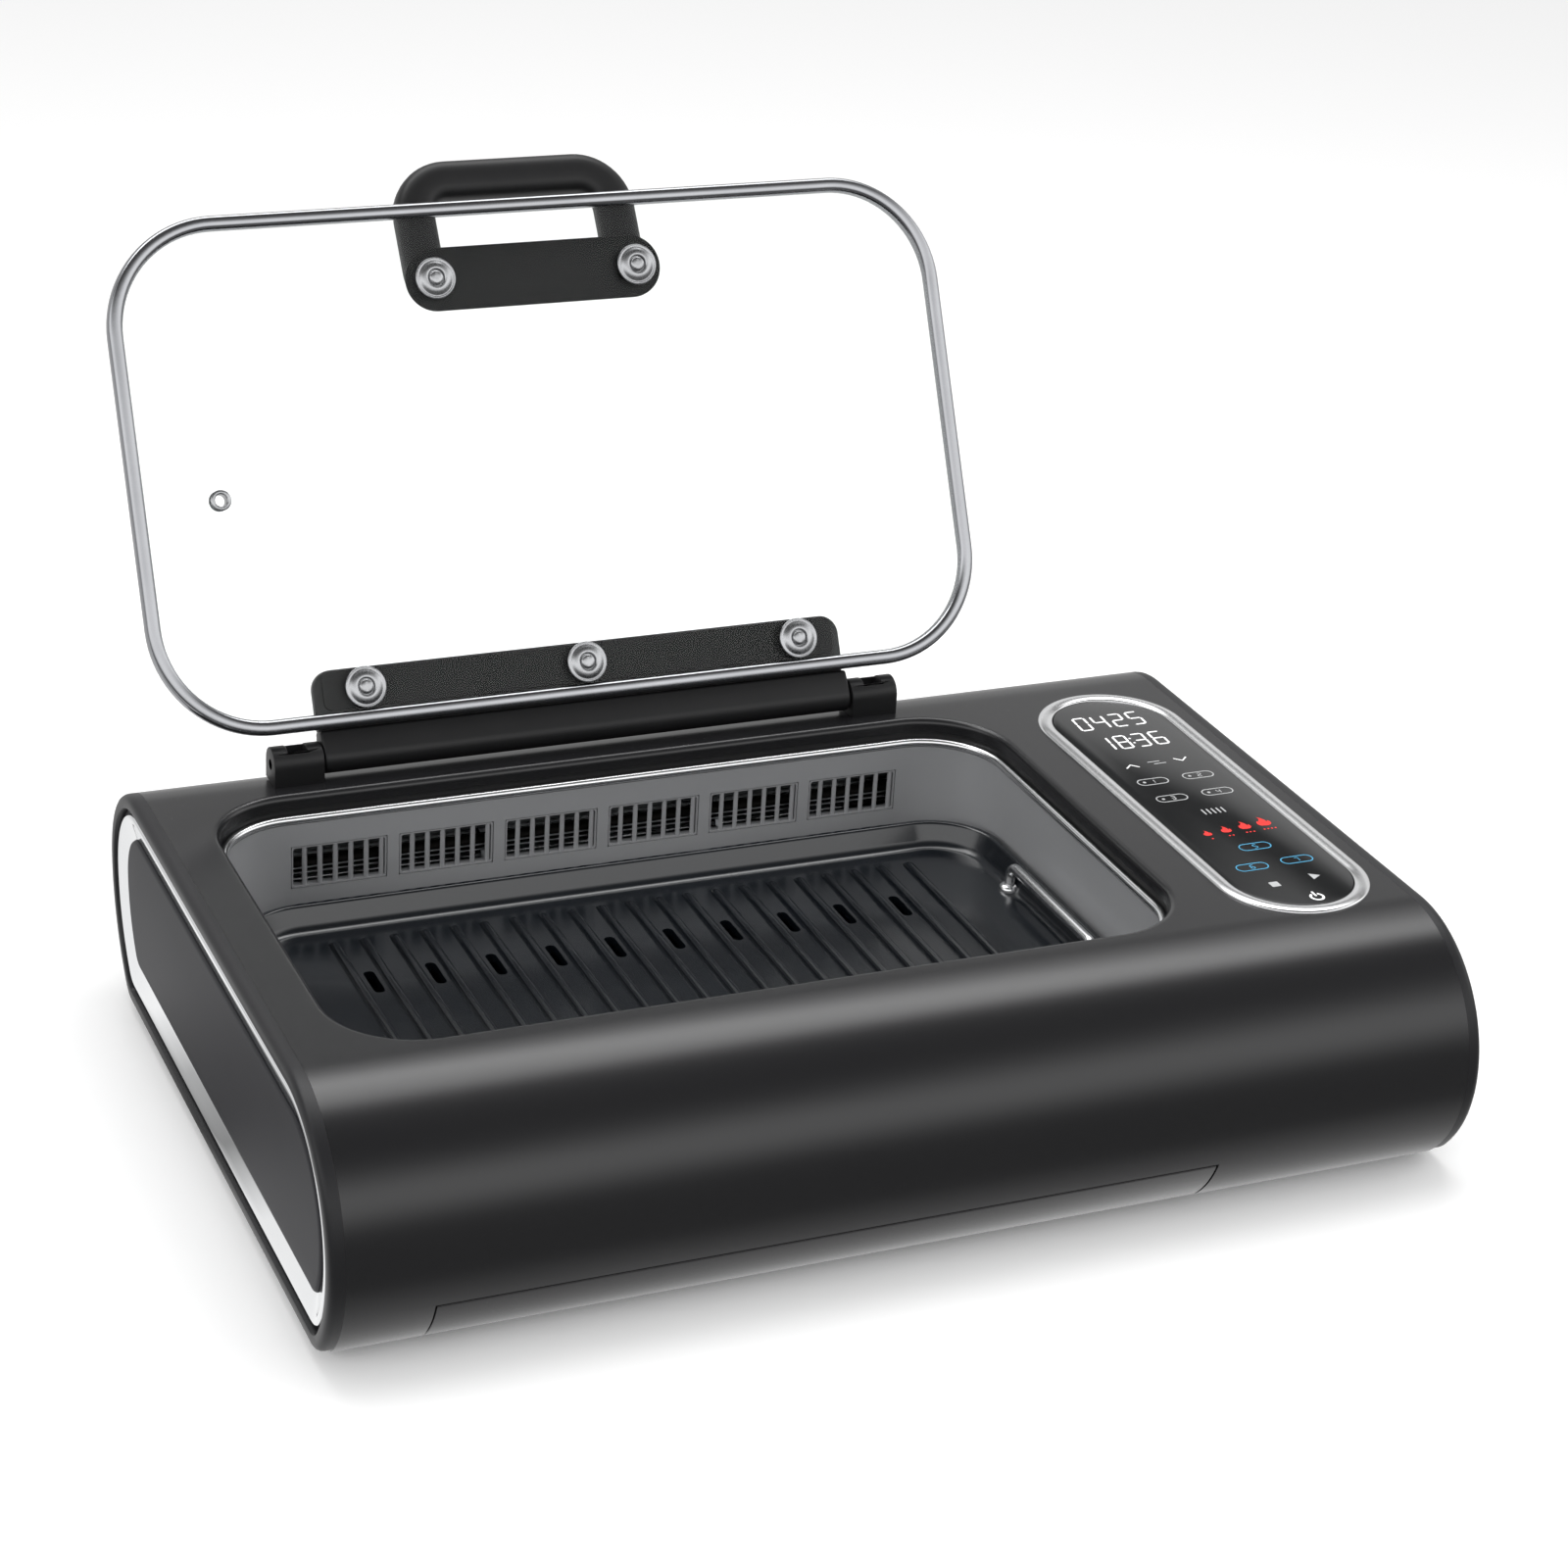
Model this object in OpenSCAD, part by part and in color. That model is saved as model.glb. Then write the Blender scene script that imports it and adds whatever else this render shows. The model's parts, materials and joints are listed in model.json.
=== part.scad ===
// Countertop electric grill with a hinged glass lid. Millimetres.
// X runs along the width (right +), Y towards the back, Z up. The origin is on the ground under the body's middle.

/* [Body] */
// Width of the painted sleeve, without its end caps
body_w = 500; // [450:5:600]
// Depth of the body, over its rounded front and back
body_d = 350; // [330:5:430]
// Height of the body, without its feet
body_h = 106; // [100:1:126]
// Radius of the rounded front
end_r = 61; // [56:1:66]
// Radius of the rounded top edge at the back
back_r = 45; // [40:1:50]
// Radius of the back below that
low_r = 80; // [75:1:90]
// Thickness of the sleeve's sheet
sleeve_t = 1.2; // [0.8:0.1:2]
// Thickness of the base pan
base_t = 2; // [1:0.5:3]
// Height of the feet under the base pan
foot_h = 5; // [3:0.5:8]
// Diameter of a foot
foot_d = 22; // [16:1:30]

/* [Ends] */
// How far an end cap stands out from the sleeve
cap_t = 6.5; // [5:0.5:9]
// Width of the cap's outer rim
cap_rim = 6.5; // [5:0.5:9]
// Width of the bright trim ring
trim_w = 12; // [8:0.5:16]
// Dark groove between the rim and the trim ring
trim_groove = 2.5; // [1.5:0.5:4]

/* [Cooking chamber] */
// Sleeve left of the opening
margin_left = 21; // [19:1:30]
// Sleeve right of the opening, which carries the controls
margin_right = 101; // [98:1:120]
// Sleeve in front of the opening
margin_front = 67; // [62:1:85]
// Sleeve behind the opening
margin_back = 57; // [57:1:85]
// Corner radius of the opening
open_r = 38; // [30:1:60]
// Depth of the liner's rolled rim below the sleeve's top
rim_drop = 11; // [8:0.5:14]
// Diameter of the liner's rolled rim
rim_d = 4; // [3:0.5:5]
// Thickness of the liner's sheet
liner_t = 1.2; // [0.8:0.1:2]
// Height of the liner's ledge above the base
ledge_z = 45; // [42:1:48]
// Thickness of the grill plate
plate_t = 4; // [3:0.5:6]
// Height of the grill plate's edge above its floor
plate_edge = 11; // [7:1:16]
// Gap behind the plate, where the hot air comes down
plate_back = 14; // [4:1:20]
// Distance between the plate's ridges
ridge_step = 14; // [10:1:20]
// Diameter of the plate's side handles
grip_wire_d = 5; // [4:0.5:6]
// Diameter of the heating element
element_d = 6.5; // [6:0.5:8]

/* [Air outlet] */
// Number of vent windows in the liner's back wall
vent_count = 6; // [3:1:6]
// Width of a vent window
vent_w = 45; // [30:1:45]
// Height of a vent window
vent_h = 21; // [14:1:24]
// Blades in a vent window
blade_count = 6; // [3:1:8]
// Radius of the fan wheel
fan_r = 19; // [14:1:20]
// Number of fan blades
fan_blades = 20; // [12:1:28]
// Radius of the fan shaft
shaft_r = 3; // [2:0.5:4]

/* [Drip tray] */
// Width of the tray's front at its top
tray_w = 344; // [300:2:350]
// Height of the tray's front
tray_h = 23; // [20:1:26]
// Thickness of the tray's front
tray_front_t = 3; // [2:0.5:4]
// Thickness of the tray's pan
tray_t = 1.2; // [0.8:0.1:2]

/* [Controls] */
// Width of the control ring
panel_w = 72; // [60:1:76]
// Width of the ring's bright band
band_w = 7; // [4:0.5:9]
// How much shorter than the body the control ring is
panel_short = 112; // [112:2:160]

/* [Lid] */
// Angle between the closed lid and the lid at rest
lid_open = 117; // [95:1:120]
// How far the lid overlaps the opening at each side
lid_over_side = 13; // [10:1:17]
// How far the lid overlaps the opening at the front
lid_over_front = 3; // [3:1:12]
// Corner radius of the lid
lid_r = 52; // [40:1:65]
// Width of the lid's steel rim
lid_rim_w = 7; // [6:0.5:10]
// Thickness of the glass
glass_t = 4; // [3:0.5:5]
// Distance from the opening's back edge to the hinge axis
hinge_back = 17; // [16:0.5:20]
// Height of the hinge axis above the sleeve
hinge_up = 8.5; // [8.5:0.5:12]
// Radius of a hinge pin
pin_r = 2.5; // [2:0.25:3]
// Distance from the lid's middle to the middle of a hinge tower
tower_out = 141; // [120:1:150]
// Width of a hinge tower
tower_w = 23; // [18:1:28]
// Distance between the two handle screws
handle_pitch = 98; // [80:1:120]
// Thickness of the handle's loop
handle_t = 16; // [12:1:20]
// Width of the handle's legs
handle_leg = 19; // [14:1:22]
// Diameter of the screws' dished washers
washer_d = 19; // [14:1:22]

/* [Hidden] */
$fn = 96;
fit = 0.05;          // running fit on a shaft or pin, on the radius
seat = 0.3;          // gap between pieces that only rest near each other
play = 0.6;          // gap round the tray's front and the cooking pieces
eps = 0.5;           // how far a cut runs past a face

end_z = body_h - end_r;                     // height of the front arc's centre above the base
end_y = body_d / 2 - end_r;                 // its distance in front of the middle
back_z = body_h - back_r;                   // height of the back arcs' centres above the base
back_c = body_d / 2 - back_r;               // distance of the upper one behind the middle
low_c = body_d / 2 - low_r;                 // and of the lower one
top_z = foot_h + body_h;                    // the sleeve's top face
in_r = end_r - sleeve_t;                    // inner radius of the sleeve's front
cap_x = body_w / 2;                         // where an end cap starts
cap_plate = 2.5;
cap_lip = 2;
cap_bevel = 2.5;
plug_depth = 9;

open_w = body_w - margin_left - margin_right;
open_d = body_d - margin_front - margin_back;
open_x = -body_w / 2 + margin_left + open_w / 2;
open_y = -body_d / 2 + margin_front + open_d / 2;
front_y = open_y - open_d / 2;
back_y = open_y + open_d / 2;

rim_r = rim_d / 2;
rim_z = top_z - rim_drop;
collar_gap = 0.5;
collar_w = 5;
rim_half_w = open_w / 2 + collar_gap - seat - rim_r;     // centre line of the rolled rim
rim_half_d = open_d / 2 + collar_gap - seat - rim_r;
rim_corner = open_r - 2;
liner_w = 2 * rim_half_w;                                // outer size of the liner's wall
liner_d = 2 * rim_half_d;
liner_top = rim_z - rim_r;
ledge_w = 24;
ledge_top = foot_h + ledge_z + liner_t;

seam = 0.1;                                              // between panels that are welded together
plate_gap = 1.5;
plate_w = liner_w - 2 * liner_t - 2 * plate_gap;
plate_d = liner_d - 2 * liner_t - plate_gap - plate_back;
plate_y = open_y - (plate_back - plate_gap) / 2;
plate_r = rim_corner - liner_t - plate_gap;
plate_z = ledge_top + 0.2;
plate_floor = plate_z + plate_t;
plate_wall = 3;
ridge_w = 3.2;
ridge_h = 2.5;
slot_w = 5;
lug_pitch = 84;
lug_w = 8;
lug_in = 9;
lug_top = plate_floor + plate_edge + 5;

element_r = element_d / 2;
element_z = foot_h + ledge_z - 8;
element_pitch = 42;
element_reach = open_w / 2 - 35;
bracket_t = 2;
bracket_w = 10;

bulk_t = 1.5;
bulk_left = open_x - open_w / 2 - collar_w - 2.5;
bulk_right = open_x + open_w / 2 + collar_w + 2;

vent_step = vent_w + 5.5;
vent_z = rim_z - 13;
blade_t = 1.6;
blade_turn = 24;
frame_t = 1.2;

fan_z = foot_h + back_z - 12;
fan_left = bulk_left + 26;
fan_right = bulk_right - 14;
scroll_r = fan_r + 4;
scroll_t = 1;
scroll_end = 1.2;
fan_y = body_d / 2 - sleeve_t - scroll_r - scroll_t - 2.5;
shaft_left = bulk_left + 8;
motor_l = 34;

tray_x = open_x;
pan_w = tray_w - 22;
pan_front = -end_y - 38;
pan_back = back_y - 10;
pan_z = foot_h + base_t + 3;
pan_h = 14;
flange_w = 6;
rail_w = 8;
rail_wall = 1.5;

panel_x = body_w / 2 - 43;
panel_y = open_y - 4;
panel_l = body_d - panel_short;
ring_up = 1.6;
ring_down = 3;
ring_lap = 2.8;
glass_gap = 0.3;
panel_glass_t = 2.2;
carrier_h = 15;
carrier_t = 1.6;
board_t = 1.6;
board_z = top_z - 10;
spring_d = 6;
spring_h = board_z + board_t;

hinge_y = back_y + hinge_back;
hinge_z = top_z + hinge_up;
lid_x = open_x;
lid_w = open_w + 2 * lid_over_side;
lid_back = 12.5;                                          // the lid's hinge edge, from the axis
lid_front = hinge_y - front_y + lid_over_front;           // its front edge, from the axis
lid_mid = (lid_back + lid_front) / 2;
lid_d = lid_front - lid_back;
rim_low = -hinge_up + 0.6;                                // underside of the lid's rim, from the axis
lid_rim_t = glass_t + 3.4;
glass_low = rim_low + 2;
glass_top = glass_low + glass_t;
glass_in = 2;                                             // how far the glass stays inside the rim's outer edge
tower_r = 7.5;
tower_d = 16;
tower_slot = 9;
bar_half = tower_out - tower_w / 2 - 0.5;
bar_r = 7;
bar_plate_low = rim_low + lid_rim_t + seat;
bar_plate_t = 5;
bar_plate_end = 39;
bar_screw_s = 29.5;
bar_screw_pitch = bar_half - 23;
lid_pin_l = 12;
screw_r = 2;
screw_head_r = 4;
pad_w = handle_pitch + 26;
pad_d = 29;
pad_t = 2;
handle_s = lid_front - 35;
handle_foot = glass_top + pad_t;
handle_tilt = 10;
handle_reach = 58;
handle_inner = 39;
handle_corner = 24;
handle_tail = 11;
vent_eye_x = -161;
vent_eye_s = 119;
vent_eye_r = 4.7;

gland_x = body_w / 2 - 45;
gland_z = 38;
gland_r = 8;
power_x = panel_x - 3;
power_y = -15;
power_w = 70;
power_l = 150;
post_h = 8;

// ---- shapes that several pieces share ----

// The body's end view in (Y, Z above the base), drawn in by inset and cut off at floor_z
module outline(inset = 0, floor_z = 0) {
    intersection() {
        union() {
            translate([-end_y, end_z]) circle(end_r - inset);
            translate([-end_y, -end_r]) square([end_y + back_c, body_h + end_r - inset]);
            translate([back_c, back_z]) circle(back_r - inset);
            intersection() {
                translate([low_c, back_z]) circle(low_r - inset);
                translate([0, -low_r]) square([body_d, low_r + back_z]);
            }
        }
        translate([-body_d, floor_z]) square([2 * body_d, 2 * body_h]);
    }
}

// Extrudes an end view from x0 to x1
module along_x(x0, x1) {
    translate([x0, 0, foot_h]) rotate([90, 0, 90]) linear_extrude(x1 - x0) children();
}

module rounded(w, d, r) {
    square([w - 2 * r, d], center = true);
    square([w, d - 2 * r], center = true);
    for (sx = [-1, 1], sy = [-1, 1]) translate([sx * (w / 2 - r), sy * (d / 2 - r)]) circle(r);
}

module stadium(w, l) {
    square([w, l - w], center = true);
    for (side = [-1, 1]) translate([0, side * (l - w) / 2]) circle(w / 2);
}

module ring2d(w, d, r, band) {
    difference() {
        rounded(w, d, r);
        rounded(w - 2 * band, d - 2 * band, r - band);
    }
}

module rod_x(x0, x1, r) {
    translate([x0, 0, 0]) rotate([0, 90, 0]) cylinder(h = x1 - x0, r = r);
}

module block(x0, x1, y0, y1, z0, z1) {
    translate([x0, y0, z0]) cube([x1 - x0, y1 - y0, z1 - z0]);
}

// Moves children drawn on the closed lid, where Y is the distance from the hinge axis towards the front,
// to where the lid stands at rest
module on_lid() {
    translate([lid_x, hinge_y, hinge_z]) rotate([-lid_open, 0, 0]) mirror([0, 1, 0]) children();
}

module at_lid_screws() {
    for (i = [-1, 0, 1]) translate([i * bar_screw_pitch, bar_screw_s, 0]) children();
    for (i = [-1, 1]) translate([i * handle_pitch / 2, handle_s, 0]) children();
}

// One unbroken tube of a given radius along a list of points, with flat ends
function unit(v) = v / norm(v);
function heading(p, i) = unit(p[min(i + 1, len(p) - 1)] - p[max(i - 1, 0)]);
function side_of(h) = unit(cross(h, abs(h[2]) < 0.8 ? [0, 0, 1] : [0, 1, 0]));
module tube(p, r, sides = 6) {
    rings = [for (i = [0:len(p) - 1]) let (h = heading(p, i), a = side_of(h), b = cross(h, a))
        for (k = [0:sides - 1]) p[i] + r * (cos(360 * k / sides) * a + sin(360 * k / sides) * b)];
    walls = [for (i = [0:len(p) - 2], k = [0:sides - 1], half = [0, 1]) let (n = (k + 1) % sides)
        half == 0 ? [i * sides + k, i * sides + n, (i + 1) * sides + n]
            : [i * sides + k, (i + 1) * sides + n, (i + 1) * sides + k]];
    last = (len(p) - 1) * sides;
    polyhedron(rings, concat(
        [[for (k = [sides - 1:-1:0]) k]], walls, [[for (k = [0:sides - 1]) last + k]]));
}

// ---- casing ----

// Front view of the drip tray's front, grown by g
module tray_outline(g = 0) {
    translate([-tray_w / 2 - g, -eps]) square([tray_w + 2 * g, tray_h + g + eps]);
}

module tray_prism(g = 0) {
    translate([tray_x, -end_y - in_r / 4, foot_h]) rotate([90, 0, 0])
        linear_extrude(end_r) tray_outline(g);
}

module sleeve() {
    color("#3a3b3d") difference() {
        along_x(-body_w / 2, body_w / 2) outline();
        along_x(-body_w / 2 - eps, body_w / 2 + eps) outline(sleeve_t, -end_r);
        translate([open_x, open_y, top_z - 2 * sleeve_t]) linear_extrude(4 * sleeve_t)
            rounded(open_w, open_d, open_r);
        translate([panel_x, panel_y, top_z - 2 * sleeve_t]) linear_extrude(4 * sleeve_t)
            stadium(panel_w - 2 * ring_lap + 2 * seat, panel_l - 2 * ring_lap + 2 * seat);
        tray_prism(play);
        rear_slots();
        at_tower_screws() cylinder(h = 4 * hinge_up, r = screw_r + fit, center = true);
        translate([gland_x, back_c, foot_h + gland_z]) rotate([-90, 0, 0])
            cylinder(h = 2 * end_r, r = gland_r - 2 + fit);
    }
}

// Exhaust slots low on the rounded back
module rear_slots() {
    slot_step = 12;
    count = floor((open_w - 60) / slot_step);
    for (i = [0:count - 1])
        translate([open_x + (i - (count - 1) / 2) * slot_step, back_c + back_r / 2, foot_h + back_z - 30])
            block(-2, 2, 0, end_r, -9, 9);
}

module base_pan() {
    color("#2b2c2e") difference() {
        along_x(-body_w / 2, body_w / 2) intersection() {
            outline(sleeve_t + seat);
            translate([-body_d, 0]) square([2 * body_d, base_t]);
        }
        translate([0, tray_front_t, 0]) tray_prism(play);
        at_feet() translate([0, 0, foot_h - eps]) cylinder(h = base_t + 2 * eps, r = screw_r + fit);
        at_base_screws() translate([0, 0, -eps]) cylinder(h = base_t + 2 * eps, r = screw_r + fit);
        for (i = [0:7], j = [0:3])
            block(open_x - 120 + i * 34, open_x - 104 + i * 34, -60 + j * 40, -57 + j * 40,
                foot_h - eps, foot_h + base_t + eps);
    }
}

module at_feet() {
    for (sx = [-1, 1], sy = [-1, 1])
        translate([sx * (body_w / 2 - 35), sy * (body_d / 2 - 57), 0]) children();
}

// Each foot's stem goes through the base pan and ends in a bead above it
module feet() {
    stem_top = foot_h + base_t + 1.6;
    color("#1b1b1c") at_feet() {
        cylinder(h = foot_h, r = foot_d / 2);
        cylinder(h = stem_top, r = screw_r);
        translate([0, 0, stem_top - 1.5]) cylinder(h = 1.5, r = screw_r + 1.2);
    }
}

// The screws that hold the base pan to the end caps' plugs
module at_base_screws() {
    for (sx = [-1, 1], sy = [-1, 1])
        translate([sx * (cap_x - plug_depth / 2), sy * (body_d / 2 - 100), foot_h]) children();
}

module base_screws() {
    color("#b9bbbd") at_base_screws() {
        translate([0, 0, -1.5]) cylinder(h = 1.5, r = screw_head_r);
        cylinder(h = base_t + seat + cap_lip + 1, r = screw_r);
    }
}

module bulkhead(x) {
    along_x(x, x + bulk_t) outline(sleeve_t + seat, base_t);
}

module left_bulkhead() {
    color("#9a9da0") difference() {
        bulkhead(bulk_left);
        translate([0, fan_y, fan_z]) rod_x(bulk_left - eps, bulk_left + bulk_t + eps, shaft_r + 4);
    }
}

module right_bulkhead() {
    color("#9a9da0") difference() {
        bulkhead(bulk_right);
        translate([0, fan_y, fan_z]) rod_x(bulk_right - eps, bulk_right + bulk_t + eps, shaft_r + 4);
        at_element_ends() rod_x(bulk_right - eps, bulk_right + bulk_t + eps, element_r + seat);
        at_heater_rods() rod_x(bulk_right - eps, bulk_right + bulk_t + eps, element_r + seat);
    }
}

// ---- ends ----

// Draws the right end; the left end is its mirror image
module end_cap() {
    difference() {
        union() {
            hull() {
                along_x(cap_x, cap_x + cap_t - cap_bevel) outline();
                along_x(cap_x, cap_x + cap_t) outline(cap_bevel, cap_bevel);
            }
            difference() {
                along_x(cap_x - plug_depth, cap_x) outline(sleeve_t + seat, base_t + seat);
                along_x(cap_x - plug_depth - eps, cap_x + eps)
                    outline(sleeve_t + seat + cap_lip, base_t + seat + cap_lip);
            }
        }
        along_x(cap_x + cap_plate, cap_x + cap_t + eps) outline(cap_rim, cap_rim);
        at_base_screws() cylinder(h = base_t + seat + cap_lip + 2, r = screw_r);
    }
}

module trim_ring() {
    start = cap_rim + trim_groove;
    difference() {
        along_x(cap_x + cap_plate, cap_x + cap_plate + 2.5) outline(start, start);
        along_x(cap_x, cap_x + cap_t) outline(start + trim_w, start + trim_w);
    }
}

module side_panel() {
    start = cap_rim + trim_groove + trim_w + 0.2;
    along_x(cap_x + cap_plate, cap_x + cap_plate + 1.5) outline(start, start);
}

module left_end_cap() { color("#3c3c3e") mirror([1, 0, 0]) end_cap(); }
module right_end_cap() { color("#3c3c3e") end_cap(); }
module left_trim_ring() { color("#d9dadb") mirror([1, 0, 0]) trim_ring(); }
module right_trim_ring() { color("#d9dadb") trim_ring(); }
module left_side_panel() { color("#4b4b4e") mirror([1, 0, 0]) side_panel(); }
module right_side_panel() { color("#4b4b4e") side_panel(); }

// ---- cooking chamber ----

// Parts a ring into the panels it is welded from, along the edges of its rounded corners
module panels(w, d, r) {
    difference() {
        children();
        for (side = [-1, 1]) {
            translate([side * (w / 2 - r), 0, 0]) cube([seam, 2 * body_d, 2 * top_z], center = true);
            translate([0, side * (d / 2 - r), 0]) cube([2 * body_w, seam, 2 * top_z], center = true);
        }
    }
}

module opening_collar() {
    step_z = liner_top - 1.5;
    color("#111112") translate([open_x, open_y, 0]) panels(open_w, open_d, open_r) {
        translate([0, 0, step_z + 1.5 + seam]) linear_extrude(top_z - sleeve_t - step_z - 1.5 - seam)
            ring2d(open_w + 2 * collar_w, open_d + 2 * collar_w, open_r + collar_w, collar_w - collar_gap);
        translate([0, 0, step_z]) linear_extrude(1.5)
            ring2d(open_w + 2 * collar_w, open_d + 2 * collar_w, open_r + collar_w,
                (open_w + 2 * collar_w - liner_w) / 2 - 0.2);
    }
}

module liner_rim() {
    color("#e3e4e5") translate([open_x, open_y, rim_z]) {
        for (sy = [-1, 1]) translate([0, sy * rim_half_d, 0])
            rod_x(-rim_half_w + rim_corner, rim_half_w - rim_corner, rim_r);
        for (sx = [-1, 1]) translate([sx * rim_half_w, 0, 0]) rotate([0, 0, 90])
            rod_x(-rim_half_d + rim_corner, rim_half_d - rim_corner, rim_r);
        for (sx = [0, 1], sy = [0, 1]) mirror([sx, 0, 0]) mirror([0, sy, 0])
            translate([rim_half_w - rim_corner, rim_half_d - rim_corner, 0])
                rotate_extrude(angle = 90) translate([rim_corner, 0]) circle(rim_r, $fn = 32);
    }
}

module at_vents() {
    for (i = [0:vent_count - 1])
        translate([open_x + (i - (vent_count - 1) / 2) * vent_step, open_y + liner_d / 2, vent_z]) children();
}

module cooking_liner() {
    wall_z = ledge_top + seam;
    color("#6d6e70") difference() {
        translate([open_x, open_y, 0]) panels(liner_w, liner_d, rim_corner) {
            translate([0, 0, wall_z]) linear_extrude(liner_top - wall_z)
                ring2d(liner_w, liner_d, rim_corner, liner_t);
            translate([0, 0, foot_h + ledge_z]) linear_extrude(liner_t)
                ring2d(liner_w, liner_d, rim_corner, ledge_w);
        }
        at_vents() block(-vent_w / 2, vent_w / 2, -3 * liner_t, liner_t, -vent_h, 0);
    }
}

module vent_louvres() {
    inner = vent_w - 2 * frame_t;
    color("#5c5d5f") at_vents() {
        difference() {
            block(-vent_w / 2 - 2, vent_w / 2 + 2, 0, frame_t, -vent_h - 2, 2);
            block(-inner / 2, inner / 2, -eps, frame_t + eps, -vent_h + frame_t, -frame_t);
        }
        for (k = [0:blade_count - 1])
            translate([-inner / 2 + (k + 1) * inner / blade_count - blade_t, frame_t, 0])
                rotate([0, 0, blade_turn]) block(-blade_t / 2, blade_t / 2, 0, 4, -vent_h, 0);
    }
}

module vent_guard() {
    color("#c9cacc") for (dz = [-13, -17])
        translate([0, open_y + liner_d / 2 + 7, vent_z + dz]) rod_x(bulk_left + bulk_t, bulk_right, 1);
}

module grill_plate() {
    count = floor((plate_w - 2 * plate_r / 2) / ridge_step / 2);
    color("#15191f") difference() {
        union() {
            translate([open_x, plate_y, plate_z]) linear_extrude(plate_t + plate_edge)
                ring2d(plate_w, plate_d, plate_r, plate_wall);
            translate([open_x, plate_y, plate_z]) linear_extrude(plate_t) rounded(plate_w, plate_d, plate_r);
            for (i = [-count + 1:count - 1]) translate([open_x + i * ridge_step, plate_y, plate_z])
                block(-ridge_w / 2, ridge_w / 2, -plate_d / 2 + 22, plate_d / 2 - 22, 0, plate_t + ridge_h);
            for (side = [-1, 1], k = [-1, 1])
                translate([open_x + side * (plate_w / 2 - lug_in), plate_y + k * lug_pitch / 2, plate_z])
                    block(-lug_w / 2, lug_w / 2, -3, 3, 0, lug_top - plate_z);
        }
        for (i = [-count + 1:2:count - 2], k = [-1, 1])
            translate([open_x + (i + 0.5) * ridge_step, plate_y + k * plate_d / 5, plate_z])
                block(-slot_w / 2, slot_w / 2, -10, 10, -eps, plate_t + eps);
        at_plate_wires() rotate([0, 0, 90]) rod_x(-lug_pitch / 2 - 3, lug_pitch / 2 + 3, grip_wire_d / 2);
    }
}

module at_plate_wires() {
    for (side = [-1, 1])
        translate([open_x + side * (plate_w / 2 - lug_in), plate_y, lug_top - grip_wire_d / 2 - 1]) children();
}

module plate_handles() {
    color("#cfd0d2") at_plate_wires() rotate([0, 0, 90])
        rod_x(-lug_pitch / 2 - 3, lug_pitch / 2 + 3, grip_wire_d / 2);
}

module at_element_ends() {
    for (side = [-1, 1]) translate([0, open_y + side * 1.5 * element_pitch, element_z]) children();
}

module half_turn(pitch) {
    rotate_extrude(angle = 180) translate([pitch / 2, 0]) circle(element_r, $fn = 48);
}

module heating_element() {
    left = open_x - element_reach;
    right = open_x + element_reach;
    color("#5a4e48") {
        at_element_ends() rod_x(left, bulk_right + 10, element_r);
        for (side = [-1, 1]) {
            translate([0, open_y + side * element_pitch / 2, element_z]) rod_x(left, right, element_r);
            translate([left, open_y + side * element_pitch, element_z]) rotate([0, 0, 90]) half_turn(element_pitch);
        }
        translate([right, open_y, element_z]) rotate([0, 0, -90]) half_turn(element_pitch);
    }
}

module element_brackets() {
    low = element_z - element_r - bracket_t;
    half = liner_d / 2 - 4;
    color("#8d9093") for (i = [-1, 0, 1])
        translate([open_x + i * element_reach / 1.5, open_y, 0]) {
            block(-bracket_w / 2, bracket_w / 2, -half, half, low, low + bracket_t);
            for (side = [-1, 1])
                translate([0, side * (half - bracket_t / 2), 0])
                    block(-bracket_w / 2, bracket_w / 2, -bracket_t / 2, bracket_t / 2, low, foot_h + ledge_z);
        }
}

module temperature_probe() {
    color("#b8b9bb") translate([open_x, open_y, element_z - element_r])
        cylinder(h = plate_z - element_z + element_r - seat, r = 3);
}

module thermal_fuse() {
    color("#b8b9bb") translate([open_x + liner_w / 2, open_y - 20, rim_z - 30]) {
        block(0, 2, -12, 12, -5, 5);
        translate([4.5, 0, 0]) rotate([0, 0, 90]) rod_x(-8, 8, 2.5);
    }
}

// ---- fan and air heater ----

module fan_impeller() {
    color("#a9acaf") translate([0, fan_y, fan_z]) difference() {
        union() {
            for (k = [0:3]) rod_x(fan_left + k * (fan_right - fan_left - 1.5) / 3,
                fan_left + k * (fan_right - fan_left - 1.5) / 3 + 1.5, fan_r);
            for (k = [0:fan_blades - 1]) rotate([k * 360 / fan_blades, 0, 0])
                translate([0, fan_r - 4, 0]) rotate([35, 0, 0])
                    block(fan_left, fan_right, -2, 3, -0.4, 0.4);
            rod_x(fan_left - 3, fan_left, shaft_r + 3);
        }
        rod_x(fan_left - 10, fan_right + 10, shaft_r);
    }
}

module fan_shaft() {
    color("#d0d2d4") translate([0, fan_y, fan_z]) rod_x(shaft_left, bulk_right + bulk_t + motor_l + 6, shaft_r);
}

module fan_bearing() {
    color("#a07d3c") translate([0, fan_y, fan_z]) difference() {
        rod_x(bulk_left + bulk_t, bulk_left + 14, shaft_r + 5);
        rod_x(bulk_left, bulk_left + 15, shaft_r + fit);
    }
}

module fan_motor() {
    start = bulk_right + bulk_t;
    color("#6f7275") translate([0, fan_y, fan_z]) difference() {
        union() {
            block(start, start + motor_l, -12, 14, -16, 14);
            rod_x(start, start + motor_l + 4, 8);
        }
        rod_x(start - eps, start + motor_l + 5, shaft_r + fit);
    }
}

module motor_coil() {
    start = bulk_right + bulk_t;
    color("#b5652b") translate([0, fan_y, fan_z])
        block(start + 5, start + motor_l - 5, -29, -12, -16, 4);
}

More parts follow.
